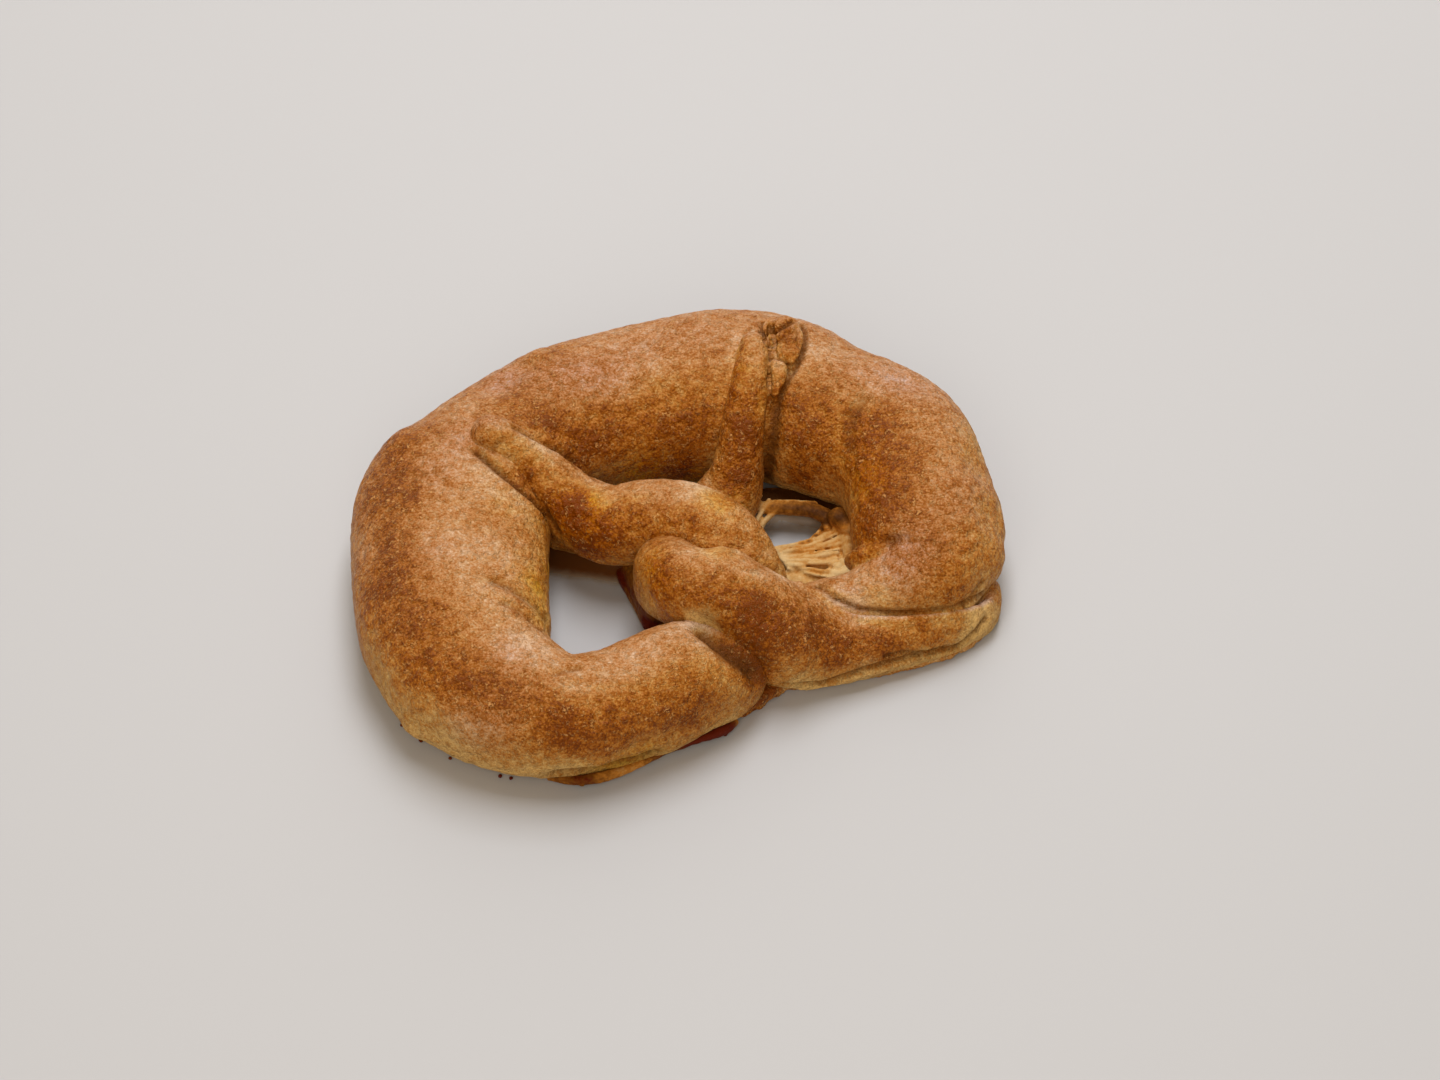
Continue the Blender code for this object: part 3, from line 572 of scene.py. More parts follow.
class CrustSettings(bpy.types.PropertyGroup):
    grain: bpy.props.FloatProperty(
        name="Grain", description="Share of its usual width that each face of the crust has",
        default=1, min=0.8)
    swell: bpy.props.FloatProperty(
        name="Swell", description="Height of the broad unevenness of the dough",
        default=0.55 * MM, unit="LENGTH")
    crease_depth: bpy.props.FloatProperty(
        name="Crease depth", description="How much deeper the hollows between ropes are pressed",
        default=0.7, min=0)
    blister: bpy.props.FloatProperty(
        name="Blisters", description="Height of the small blisters of the crust",
        default=0.24 * MM, unit="LENGTH")
    blister_spacing: bpy.props.FloatProperty(
        name="Blister spacing", description="Distance between the small blisters",
        default=1.35 * MM, unit="LENGTH")
    raggedness: bpy.props.FloatProperty(
        name="Raggedness", description="How much rougher the torn layers are than the cheese",
        default=2.4, min=0)
    cream: bpy.props.FloatVectorProperty(
        name="Cream flecks", description="Colour of the lightest flecks of the crust",
        default=(0.69, 0.455, 0.225), **COLOUR)
    # Pale blister tops, painted brighter as glints
    glint_speck: bpy.props.FloatVectorProperty(
        name="Specks", description="Colour of the small glazed blisters",
        default=(0.74, 0.38, 0.13), **COLOUR)
    sheen_tint: bpy.props.FloatVectorProperty(
        name="Sheen tint", description="How the crust that faces the light changes in colour",
        default=(0.99, 1.05, 2.0), **TINT)
    # Painted shade on the sides turned away from the sheen, and deeper glaze in spots
    deep_and_shade_tint: bpy.props.FloatVectorProperty(
        name="Side tint", description="How the crust that faces sideways changes in colour",
        default=(1.0, 0.86, 0.12), **TINT)
    pit_tint: bpy.props.FloatVectorProperty(
        name="Pit tint", description="How much darker the pits between the blisters are",
        default=(0.54, 0.40, 0.26), **TINT)
    pale: bpy.props.FloatVectorProperty(
        name="Pale dough", description="Colour of the least baked crust",
        default=(0.57, 0.335, 0.145), **COLOUR)
    golden: bpy.props.FloatVectorProperty(
        name="Golden crust", description="Colour of the lightly baked crust",
        default=(0.50, 0.23, 0.066), **COLOUR)
    toasted: bpy.props.FloatVectorProperty(
        name="Toasted crust", description="Colour of the well browned crust",
        default=(0.35, 0.112, 0.011), **COLOUR)
    dark: bpy.props.FloatVectorProperty(
        name="Dark crust", description="Colour of the most browned spots",
        default=(0.18, 0.044, 0.003), **COLOUR)
    # Painted shade at the bottom of the folds
    crevice_shade: bpy.props.FloatVectorProperty(
        name="Crevice", description="Colour of the bottom of the folds",
        default=(0.11, 0.036, 0.005), **COLOUR)
    roughness: bpy.props.FloatProperty(
        name="Roughness", description="Roughness of the crust's satin face",
        default=0.38, min=0, max=1, subtype="FACTOR")


class CheeseSettings(bpy.types.PropertyGroup):
    grain: bpy.props.FloatProperty(
        name="Grain", description="Width of the faces of the cheese",
        default=0.32 * MM, min=0.2 * MM, unit="LENGTH")
    strands: bpy.props.IntProperty(
        name="Strands", description="How many strands the skin is drawn into",
        default=14, min=2)
    strand_width: bpy.props.FloatProperty(
        name="Strand width", description="Half the width of a strand",
        default=0.52 * MM, unit="LENGTH")
    lumpiness: bpy.props.FloatProperty(
        name="Lumpiness", description="Height of the unevenness of the cheese",
        default=0.16 * MM, unit="LENGTH")
    pale: bpy.props.FloatVectorProperty(
        name="Pale cheese", description="Colour of the driest cheese",
        default=(0.68, 0.47, 0.22), **COLOUR)
    set_yellow: bpy.props.FloatVectorProperty(
        name="Set cheese", description="Colour of the set strands",
        default=(0.58, 0.33, 0.11), **COLOUR)
    amber: bpy.props.FloatVectorProperty(
        name="Amber cheese", description="Colour of the thin baked cheese",
        default=(0.46, 0.18, 0.025), **COLOUR)
    brown: bpy.props.FloatVectorProperty(
        name="Browned cheese", description="Colour of the browned cheese",
        default=(0.19, 0.066, 0.008), **COLOUR)
    burnt: bpy.props.FloatVectorProperty(
        name="Burnt cheese", description="Colour of the burnt cheese",
        default=(0.11, 0.012, 0.003), **COLOUR)
    # Darkest colour of the skin: scorching, and the painted shade in the slot behind the ledge
    scorch_and_shade: bpy.props.FloatVectorProperty(
        name="Scorched skin", description="Colour of the darkest part of the skin",
        default=(0.075, 0.024, 0.003), **COLOUR)
    # Colour where a film covers most: painted shadow on the floor, in part baked fat
    film: bpy.props.FloatVectorProperty(
        name="Baked film", description="Colour of the thin film of fat and cheese",
        default=(0.19, 0.062, 0.009), **COLOUR)
    # Colour where a film fades: painted warm light thrown back from the crust into the shade
    warm_shade_film: bpy.props.FloatVectorProperty(
        name="Thin film", description="Colour of the film where it fades out",
        default=(0.56, 0.41, 0.25), **COLOUR)
    film_grain: bpy.props.FloatProperty(
        name="Film grain", description="Width of the faces of the film",
        default=0.7 * MM, min=0.3 * MM, unit="LENGTH")


class StageSettings(bpy.types.PropertyGroup):
    floor: bpy.props.FloatVectorProperty(
        name="Floor", description="Colour of the floor",
        default=(0.477, 0.486, 0.514), **COLOUR)
    camera_distance: bpy.props.FloatProperty(
        name="Camera distance", description="From the lens to the floor's middle",
        default=1.55, unit="LENGTH")
    camera_angle: bpy.props.FloatProperty(
        name="Camera angle", description="Angle of the view above the floor",
        default=math.radians(47), unit="ROTATION")
    lens: bpy.props.FloatProperty(
        name="Lens", description="Focal length in millimetres", default=150)
    sky: bpy.props.FloatVectorProperty(
        name="Fill light", description="Colour of the even light all round",
        default=(0.36, 0.295, 0.214), **COLOUR)
    soft_box: bpy.props.FloatProperty(
        name="Soft box", description="Power of the soft box above and behind",
        default=13.3, **POWER)
    back_panel: bpy.props.FloatProperty(
        name="Back panel", description="Power of the soft panel behind, which gives the sheen",
        default=4.9, **POWER)
    front_panel: bpy.props.FloatProperty(
        name="Front panel", description="Power of the soft panel in front, which lights the shadows",
        default=8.2, **POWER)


class Reading:
    """A value in a shader, on which Python arithmetic adds Math nodes."""

    def __init__(self, finish, socket):
        self.finish = finish
        self.socket = socket

    def maths(self, operation, *values):
        return self.finish.node("ShaderNodeMath", {"operation": operation},
                                dict(enumerate(values)))

    def __add__(self, other):
        return self.maths("ADD", self, other)

    def __sub__(self, other):
        return self.maths("SUBTRACT", self, other)

    def __rsub__(self, other):
        return self.maths("SUBTRACT", other, self)

    def __mul__(self, other):
        return self.maths("MULTIPLY", self, other)

    __radd__ = __add__
    __rmul__ = __mul__


class Finish:
    """A material whose shader is put together by node() and by readings."""

    def __init__(self, name):
        self.material = bpy.data.materials.new(name)
        self.material.use_nodes = True
        self.tree = self.material.node_tree

    def node(self, kind, settings=None, inputs=None, output=0):
        """Add one node, set it up, feed its sockets and read one output."""
        made = self.tree.nodes.new(kind)
        for key, value in (settings or {}).items():
            if key == "stops":
                self.set_stops(made.color_ramp, value)
            else:
                setattr(made, key, value)
        self.feed(made, inputs or {})
        return Reading(self, made.outputs[output])

    def set_stops(self, ramp, stops):
        while len(ramp.elements) < len(stops):
            ramp.elements.new(1.0)
        for element, (place, colour) in zip(ramp.elements, stops):
            element.position = place
            element.color = (*colour, 1.0)

    def feed(self, node, inputs):
        for key, value in inputs.items():
            socket = node.inputs[key]
            if isinstance(value, Reading):
                self.tree.links.new(value.socket, socket)
            elif hasattr(socket.default_value, "__len__"):
                socket.default_value = (*value, 1.0)[:len(socket.default_value)]
            else:
                socket.default_value = value

    def attribute(self, name):
        return self.node("ShaderNodeAttribute", {"attribute_name": name}, output="Fac")

    def grain(self, spacing, detail=2.0, roughness=0.5, distortion=0.0):
        """Even noise that is fixed to the piece, one swing for each spacing."""
        where = self.node("ShaderNodeTexCoord", output="Object")
        return self.node("ShaderNodeTexNoise", None,
                         {"Vector": where, "Scale": 1 / spacing, "Detail": detail,
                          "Roughness": roughness, "Distortion": distortion})

    def between(self, value, low, high, new_low=0.0, new_high=1.0):
        """Smooth step of a value from one range to another."""
        return self.node("ShaderNodeMapRange", {"interpolation_type": "SMOOTHSTEP"},
                         {"Value": value, "From Min": low, "From Max": high,
                          "To Min": new_low, "To Max": new_high})

    def ramp(self, tone, *stops):
        """Colour that runs through the stops as the tone grows."""
        return self.node("ShaderNodeValToRGB", {"stops": stops}, {"Fac": tone})

    def blend(self, share, first, second, how="MIX"):
        """Mix two colours, or with MULTIPLY shade the first by the second."""
        return self.node("ShaderNodeMix", {"data_type": "RGBA", "blend_type": how},
                         {"Factor": share, 6: first, 7: second}, output=2)

    def bump(self, height, distance):
        return self.node("ShaderNodeBump", None, {"Height": height, "Distance": distance})

    def finish(self, **sockets):
        """Feed the shader's sockets and return the material."""
        self.feed(self.tree.nodes["Principled BSDF"],
                  {key.replace("_", " "): value for key, value in sockets.items()})
        return self.material


def in_part_frame(points):
    """Rows of millimetres as metres in the part's frame; the rest is scaled."""
    moved = np.array(points, float) * MM
    moved[..., 0] -= MIDDLE_X
    moved[..., 1] -= MIDDLE_Y
    return moved


def smooth_run(rows, step):
    """Catmull-Rom curve through the rows, one sample for each step."""
    knots = in_part_frame(rows)
    knots = np.vstack([2 * knots[0] - knots[1], knots, 2 * knots[-1] - knots[-2]])
    samples = []
    for before, here, there, after in zip(knots, knots[1:], knots[2:], knots[3:]):
        count = max(2, int(np.linalg.norm((there - here)[:3]) / step))
        for t in np.arange(count) / count:
            samples.append(0.5 * (2 * here + (there - before) * t
                                  + (2 * before - 5 * here + 4 * there - after) * t ** 2
                                  + (3 * here - before - 3 * there + after) * t ** 3))
    samples.append(knots[-2])
    return np.array(samples)


def end_rounding(samples):
    """How far each section shrinks so that both ends are domes."""
    lengths = np.linalg.norm(np.diff(samples[:, :3], axis=0), axis=1)
    along = np.concatenate([[0], np.cumsum(lengths)])
    to_end = np.minimum(along, along[-1] - along)
    depth = np.clip(1 - to_end / samples[:, 3], 0, 1)
    return np.maximum(np.sqrt(1 - depth ** 2), END_POINT)


def section(half_width, half_height, sides):
    """Points of one oval section, as sideways and upward offsets."""
    offsets = []
    for side in range(sides):
        angle = 2 * math.pi * side / sides
        across, up = math.cos(angle), math.sin(angle)
        power = CROWN_POWER if up >= 0 else FOOT_POWER
        offsets.append((math.copysign(abs(across) ** (2 / power), across) * half_width,
                        math.copysign(abs(up) ** (2 / power), up) * half_height))
    return offsets


def next_ring(bm, ring):
    """Extrude a ring and return its new vertices in the same order."""
    edges = [bm.edges.get((a, b)) for a, b in zip(ring, ring[1:] + ring[:1])]
    made = bmesh.ops.extrude_edge_only(bm, edges=edges)["geom"]
    fresh = {v for v in made if isinstance(v, bmesh.types.BMVert)}
    return [next(edge.other_vert(vert) for edge in vert.link_edges
                 if edge.other_vert(vert) in fresh) for vert in ring]


def add_rope(bm, rows, sides=ROPE_SIDES, step=ROPE_STEP):
    """Loft one closed rope through its oval sections into a bmesh."""
    samples = smooth_run(rows, step)
    shrink = end_rounding(samples)
    forward = np.gradient(samples[:, :3], axis=0)
    forward /= np.linalg.norm(forward, axis=1)[:, None]
    sideways = np.cross(forward, (0, 0, 1))
    sideways /= np.linalg.norm(sideways, axis=1)[:, None]
    upward = np.cross(sideways, forward)
    ring = bmesh.ops.create_circle(bm, segments=sides, radius=MM)["verts"]
    bmesh.ops.contextual_create(bm, geom=ring)
    for index, sample in enumerate(samples):
        if index:
            ring = next_ring(bm, ring)
        half_width, half_height = sample[3:5] * shrink[index]
        for vert, (across, up) in zip(ring, section(half_width, half_height, sides)):
            vert.co = sample[:3] + sideways[index] * across + upward[index] * up
    bmesh.ops.contextual_create(bm, geom=ring)


def add_piece(name, bm):
    """Turn a bmesh into an object with outward faces."""
    bmesh.ops.recalc_face_normals(bm, faces=bm.faces)
    mesh = bpy.data.meshes.new(name)
    bm.to_mesh(mesh)
    bm.free()
    piece = bpy.data.objects.new(name, mesh)
    bpy.context.scene.collection.objects.link(piece)
    return piece


def make_one_skin(piece, grain, passes):
    """Join the ropes of a piece into one skin of even faces, and smooth it."""
    skin = piece.modifiers.new("skin", "REMESH")
    skin.mode = "VOXEL"
    skin.voxel_size = grain
    piece.modifiers.new("softening", "SMOOTH").iterations = passes
    graph = bpy.context.evaluated_depsgraph_get()
    graph.update()
    mesh = bpy.data.meshes.new_from_object(piece.evaluated_get(graph))
    piece.modifiers.clear()
    piece.data = mesh


def read_shape(mesh):
    """Points of a mesh and its normals there, as two arrays of rows."""
    shape = []
    for source, field in ((mesh.vertices, "co"), (mesh.vertex_normals, "vector")):
        values = np.zeros(len(source) * 3)
        source.foreach_get(field, values)
        shape.append(values.reshape(-1, 3))
    return shape


def push_out(mesh, points, normals, height):
    """Move the points along their normals, and none of them below the floor."""
    points += normals * height[:, None]
    points[:, 2] = np.maximum(points[:, 2], 0)
    mesh.vertices.foreach_set("co", points.ravel())
    mesh.update()


def write_attributes(mesh, **columns):
    """Note values at the points of a mesh, each under its name."""
    for name, values in columns.items():
        attribute = mesh.attributes.new(name, "FLOAT", "POINT")
        attribute.data.foreach_set("value", np.full(len(mesh.vertices), values, np.float32))


def smoothed(mesh, values, passes):
    """Values averaged along the edges of a mesh, again and again."""
    ends = np.zeros(len(mesh.edges) * 2, np.int64)
    mesh.edges.foreach_get("vertices", ends)
    one, other = ends.reshape(-1, 2).T
    count = len(mesh.vertices)
    links = np.bincount(one, minlength=count) + np.bincount(other, minlength=count)
    columns = values.reshape(count, -1)
    for _ in range(passes):
        total = np.empty_like(columns)
        for k in range(columns.shape[1]):
            total[:, k] = (np.bincount(one, columns[other, k], count)
                           + np.bincount(other, columns[one, k], count))
        columns = 0.5 * columns + 0.5 * total / links[:, None]
    return columns.reshape(values.shape)


def sunk_depth(mesh, points, normals, passes):
    """How deep each point lies below what is round it."""
    return ((smoothed(mesh, points, passes) - points) * normals).sum(axis=1)


def noise_at(points, spacing, shift=0.0):
    """Smooth noise between -1 and 1 at many points."""
    scaled = points / spacing + shift
    return np.array([noise.noise(Vector(p)) for p in scaled])


def distance_to_path(points, path):
    """Distance from many points to a line through a few."""
    nearest = np.full(len(points), np.inf)
    for start, end in zip(path, path[1:]):
        along = end - start
        share = np.clip((points - start) @ along / (along @ along), 0, 1)
        gap = np.linalg.norm(points - start - share[:, None] * along, axis=1)
        nearest = np.minimum(nearest, gap)
    return nearest


def spots_at(points, table, find):
    """Sum of the soft round spots of a table at many points."""
    total = np.zeros(len(points))
    for across, down, radius, strength in table:
        centre = find(across, down)
        if centre is not None:
            gap = np.linalg.norm(points - centre, axis=1)
            total += strength * np.exp(-(gap / (radius * MM)) ** 2)
    return total


def camera_place(stage):
    """Where the camera stands, and its directions right, up and ahead."""
    angle = stage.camera_angle
    ahead = Vector((0, math.cos(angle), -math.sin(angle)))
    place = Vector((-MIDDLE_X, -MIDDLE_Y, 0)) - ahead * stage.camera_distance
    return place, Vector((1, 0, 0)), Vector((0, -ahead.z, ahead.y)), ahead


def photo_ray(stage, across, down):
    """Where the camera stands, and the direction of a point of the photograph."""
    place, right, up, ahead = camera_place(stage)
    focus = stage.lens / SENSOR_WIDTH * PHOTO_WIDTH
    return place, (ahead * focus + right * (across - PHOTO_WIDTH / 2)
                   + up * (PHOTO_HEIGHT / 2 - down))


def photo_rows(rows, stage):
    """Rows whose middles are points of the photograph, as rows of a run."""
    found = []
    for across, down, height, *sizes in rows:
        place, ray = photo_ray(stage, across, down)
        spot = place + ray * ((height * MM - place.z) / ray.z)
        found.append(((spot.x + MIDDLE_X) / MM, (spot.y + MIDDLE_Y) / MM, height, *sizes))
    return found


def photo_finder(pieces, stage):
    """A function that finds the place on the pieces seen at a photograph's point."""
    graph = bpy.context.evaluated_depsgraph_get()
    trees = [BVHTree.FromObject(piece, graph) for piece in pieces]

    def find(across, down):
        place, ray = photo_ray(stage, across, down)
        hits = [tree.ray_cast(place, ray.normalized()) for tree in trees]
        hits = [(hit[3], tuple(hit[0])) for hit in hits if hit[0] is not None]
        return np.array(min(hits)[1]) if hits else None

    return find


def dress(piece, material, node=None):
    """Give a piece its finish, hang it on the root body and hide the part it stands for."""
    piece.data.materials.clear()
    piece.data.materials.append(material)
    piece.data.shade_smooth()
    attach(piece, "root")
    if node:
        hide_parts(node)


def crust_finish(crust):
    """Crust from cream to dark brown by its toast, with blisters, specks painted as glints, painted
    sheen, and painted shade in creases and on the sides.
    """
    finish = Finish("baked_crust")
    toast, crease, hollow, sheen, deep = (
        finish.attribute(name) for name in ("toast", "crease", "hollow", "sheen", "deep"))
    patches = finish.grain(PATCH_SPACING, detail=3)
    mottle = finish.grain(MOTTLE_SPACING, detail=4, roughness=0.6)
    bubbles = finish.grain(crust.blister_spacing, roughness=0.6, distortion=0.6)
    small = finish.grain(BEAD_SPACING, distortion=0.4)
    domes = finish.between((bubbles - 0.5).maths("ABSOLUTE"), 0.0, 0.09)
    beads = finish.between((small - 0.5).maths("ABSOLUTE"), 0.0, 0.10)
    rough = finish.between(patches, 0.35, 0.60, 0.5, 1.0)
    glint_speck = finish.between(bubbles, 0.53, 0.64) * finish.between(small, 0.42, 0.58)
    # Creases add painted shade to the tone
    tone = (toast + (patches - 0.5) * PATCH_TONE + (mottle - 0.5) * MOTTLE_TONE
            - (small - 0.5) * BEAD_TONE + crease * CREASE_SHADE_TONE)
    colour = finish.ramp(tone, (0.0, crust.cream), (0.18, crust.pale), (0.42, crust.golden),
                         (0.72, crust.toasted), (1.0, crust.dark))
    # Painted sheen, painted shade on the sides with deeper glaze, and darker pits tint the colour
    for share, tint in ((sheen, crust.sheen_tint), (deep, crust.deep_and_shade_tint),
                        ((1 - domes) * rough * PIT_SHADE, crust.pit_tint),
                        ((1 - beads) * PIT_SHADE, crust.pit_tint)):
        colour = finish.blend(share, colour, tint, "MULTIPLY")
    # Specks are pale blister tops painted brighter as glints
    colour = finish.blend(glint_speck * rough * GLINT_SPECK_SHARE, colour, crust.glint_speck)
    # Painted shade at the bottom of the creases
    colour = finish.blend(crease * CREVICE_SHADE_SHARE, colour, crust.crevice_shade)
    height = (domes * rough * DOME_RELIEF + beads * BEAD_RELIEF + mottle * MOTTLE_RELIEF
              + glint_speck * SPECK_RELIEF)
    roughness = (crust.roughness + (mottle - 0.5) * MOTTLE_ROUGHNESS + hollow * HOLLOW_ROUGHNESS
                 + finish.between(toast, 0.55, 0.15) * PALE_ROUGHNESS)
    return finish.finish(Base_Color=colour, Roughness=roughness, IOR=1.45,
                         Specular_IOR_Level=0.14, Normal=finish.bump(height, CRUST_RELIEF))


class PRETZEL_OT_crust(bpy.types.Operator):
    """Roll, twist and bake the dough of the pretzel"""
    bl_idname = "pretzel.crust"
    bl_label = "Baked crust"

    def execute(self, context):
        crust = context.scene.pretzel_crust
        stage = context.scene.pretzel_stage
        pieces = [self.roll(name, [run, *(photo_rows(rows, stage) for rows in seen)],
                            grain * crust.grain * MM)
                  for name, run, seen, grain in CRUST_PIECES]
        self.dough_at = photo_finder(pieces, stage)
        material = crust_finish(crust)
        for piece in pieces:
            self.shape_folds(piece.data, crust)
            self.brown(piece.data)
            dress(piece, material, "pretzel_dough")
        return {"FINISHED"}

    def roll(self, name, runs, grain):
        """Roll the ropes of one piece of dough into one skin of even faces."""
        bm = bmesh.new()
        for rows in runs:
            add_rope(bm, rows)
        piece = add_piece(name, bm)
        make_one_skin(piece, grain, passes=2)
        return piece

    def shape_folds(self, mesh, crust):
        """Swell, blister and crease the dough, and note where its grooves are for the painted shade
        in them.
        """
        points, normals = read_shape(mesh)
        height = (noise_at(points, SWELL_SPACING) * crust.swell
                  + noise_at(points, WAVE_SPACING, shift=7.3) * crust.swell * WAVE_SHARE
                  + noise_at(points, BUBBLE_SPACING, shift=3.1) * crust.blister
                  + spots_at(points, SWELLINGS, self.dough_at) * MM)
        sunk = sunk_depth(mesh, points, normals, passes=10)
        height -= np.clip(sunk, 0, DEEPEST_HOLLOW) * crust.crease_depth
        # How much painted shade each groove lays in its crease
        crease = np.zeros(len(points))
        for width, lift, seen in FOLDS:
            path = [self.dough_at(across, down) for across, down in seen]
            path = [point for point in path if point is not None]
            nearness = np.exp(-(distance_to_path(points, path) / (width * MM)) ** 2)
            height += lift * MM * nearness
            crease = np.maximum(crease, nearness * min(1, -lift * MM / FULL_GROOVE))
        push_out(mesh, points, normals, height)
        write_attributes(mesh, crease=crease)

    def brown(self, mesh):
        """Note how toasted and hollow each point is, how much painted sheen it gets, and how much
        painted shade and deeper glaze darken it.
        """
        points, normals = read_shape(mesh)
        sunk = sunk_depth(mesh, points, normals, passes=12)
        hollow = np.clip(sunk / FULL_HOLLOW, 0, 1)
        facing = 0.5 + 0.5 * normals[:, 2]
        low = np.clip(1 - points[:, 2] / FOOT_HEIGHT, 0, 1)
        # Paler near the floor: in part a pale rim, in part painted fill light on the shaded foot
        toast = (BROWN_ALL_OVER + BROWN_ON_TOP * facing - PALE_IN_HOLLOWS * hollow
                 - PALE_AND_LIT_FOOT * low
                 + spots_at(points, TOASTED_AND_SHADE_SPOTS, self.dough_at)
                 - spots_at(points, PALE_SPOTS, self.dough_at)
                 + BROWN_DRIFT * noise_at(points, DRIFT_SPACING, shift=11.7))
        # Faces turned above and behind get painted sheen, and the other sides painted shade
        sheen = np.clip((normals @ SHEEN_FROM - SHEEN_START) / SHEEN_RANGE, 0, 1)
        painted_sheen = PINK_SHEEN * sheen + spots_at(points, PAINTED_SHEEN_SPOTS, self.dough_at)
        deep = SHADED_SIDE_SHARE * (1 - sheen) + spots_at(points, DEEP_GLAZE_AND_SHADE_SPOTS, self.dough_at)
        write_attributes(mesh, toast=smoothed(mesh, toast, passes=3),
                         sheen=np.clip(painted_sheen - deep / 2, 0, 1),
                         deep=np.clip(deep - painted_sheen / 2, 0, 1),
                         hollow=smoothed(mesh, hollow, passes=2))


def cheese_finish(cheese, name, roughness, darkest):
    """Cheese that runs with its attribute from pale and dry to burnt, where browning and painted
    shade add up.
    """
    finish = Finish(name)
    curd = finish.grain(CURD_SPACING, detail=3, roughness=0.6)
    fine = finish.grain(FINE_SPACING)
    tone = (finish.attribute("cook") + (curd - 0.5) * CURD_TONE
            + (fine - 0.5) * FINE_TONE)
    colour = finish.ramp(tone, (0.05, cheese.pale), (0.30, cheese.set_yellow),
                         (0.52, cheese.amber), (0.76, cheese.brown), (1.0, darkest))
    return finish.finish(Base_Color=colour, IOR=1.45, Specular_IOR_Level=0.12,
                         Roughness=roughness + (curd - 0.5) * CURD_ROUGHNESS,
                         Normal=finish.bump(curd + fine * FINE_RELIEF, CHEESE_RELIEF))


def lay_runs(name, stage, runs, lumps, grain, roughness, shift):
    """Run strands and lumps, given in the photograph, into one uneven skin."""
    bm = bmesh.new()
    for rows in runs:
        add_rope(bm, photo_rows(rows, stage), THIN_SIDES, THIN_STEP)
    for x, y, z, size in in_part_frame(photo_rows(lumps, stage)):
        ball = bmesh.ops.create_icosphere(bm, subdivisions=2, radius=size)["verts"]
        bmesh.ops.scale(bm, vec=(1, 1, LUMP_FLATNESS), verts=ball)
        bmesh.ops.translate(bm, vec=(x, y, z), verts=ball)
    piece = add_piece(name, bm)
    make_one_skin(piece, grain, passes=1)
    points, normals = read_shape(piece.data)
    height = roughness * (noise_at(points, LARGE_BUMP_SPACING, shift)
                          + SMALL_BUMP_SHARE * noise_at(points, SMALL_BUMP_SPACING, shift))
    push_out(piece.data, points, normals, height)
    return piece


def cook(piece, stage, darker_spots, pale_spots, base):
    """Note on a piece of cheese how much each place has browned, with painted shade in its hollows
    and painted light on what stands out.
    """
    points, normals = read_shape(piece.data)
    find = photo_finder([piece], stage)
    sunk = sunk_depth(piece.data, points, normals, passes=5)
    # Hollows are painted darker as shade, and what stands out lighter as painted light
    write_attributes(piece.data, cook=(
        base + np.clip(sunk / SHADED_HOLLOW, RAISED_LIGHT_LIMIT, 1) * HOLLOW_SHADE_SHARE
        + spots_at(points, darker_spots, find) - spots_at(points, pale_spots, find)))


class PRETZEL_OT_skin(bpy.types.Operator):
    """Draw the stringy skin of cheese across the right opening"""
    bl_idname = "pretzel.skin"
    bl_label = "Cheese skin"

    def execute(self, context):
        cheese = context.scene.pretzel_cheese
        stage = context.scene.pretzel_stage
        piece = lay_runs("cheese_skin", stage, SKIN_RUNS + self.strands(cheese), SKIN_LUMPS,
                         cheese.grain, cheese.lumpiness, shift=2.7)
        # The skin's darker spots lay painted shade on its ledge and in the slot behind it
        cook(piece, stage, SKIN_BROWN_AND_SHADE_SPOTS, SKIN_PALE_SPOTS, base=0.30)
        dress(piece, cheese_finish(cheese, "stringy_cheese", roughness=0.58,
                                   darkest=cheese.scorch_and_shade),
              "cheese_web")
        return {"FINISHED"}

    def strands(self, cheese):
        """Strands that fan out from the left edge of the skin to its right."""
        chance = np.random.default_rng(4)
        starts, ends = np.array(STRAND_STARTS, float), np.array(STRAND_ENDS, float)
        thin = cheese.strand_width / MM
        made = []
        for share in np.linspace(0, 1, cheese.strands):
            start = starts[0] + (starts[1] - starts[0]) * share
            stray = chance.normal(0, STRAND_SPREAD)
            end = ends[0] + (ends[1] - ends[0]) * (share + stray)
            rows = []
            for along in (0, 0.25, 0.5, 0.75, 1):
                across, down = start + (end - start) * along
                sag = STRAND_SAG * math.sin(math.pi * along) * abs(1 - SAG_FADE * share)
                size = thin * chance.uniform(*STRAND_WIDTHS)
                rows.append((across, down + sag + chance.normal(0, STRAND_WANDER),
                             STRAND_HEIGHT + along + chance.uniform(*STRAND_LIFTS),
                             size, size * STRAND_FLATNESS))
            made.append(tuple(rows))
        return tuple(made)


class PRETZEL_OT_leaks(bpy.types.Operator):
    """Let browned cheese out under the front and beside the knob"""
    bl_idname = "pretzel.leaks"
    bl_label = "Leaked cheese"

    def execute(self, context):
        cheese = context.scene.pretzel_cheese
        stage = context.scene.pretzel_stage
        piece = lay_runs("leaked_cheese", stage, LEAK_RUNS, LEAK_LUMPS,
                         cheese.grain, cheese.lumpiness, shift=5.1)
        cook(piece, stage, LEAK_DARK_SPOTS, LEAK_PALE_SPOTS, base=0.70)
        dress(piece, cheese_finish(cheese, "browned_leak", roughness=0.45,
                                   darkest=cheese.burnt))
        return {"FINISHED"}


def shadow_film_finish(cheese):
    """Film of painted shadow, dark brown where it covers most and warm where it fades, and clear and
    ragged at its rim.
    """
    finish = Finish("baked_film")
    ragged = finish.grain(RIM_SPACING, detail=3)
    cover = finish.attribute("hidden") + (ragged - 0.5) * RIM_SHARE
    colour = finish.blend(finish.between(cover, 0.35, 0.95), cheese.warm_shade_film, cheese.film)
    return finish.finish(Base_Color=colour, Roughness=0.6, Specular_IOR_Level=0.1,
                         Alpha=finish.between(cover, 0.0, 0.9, 0.0, 0.88))


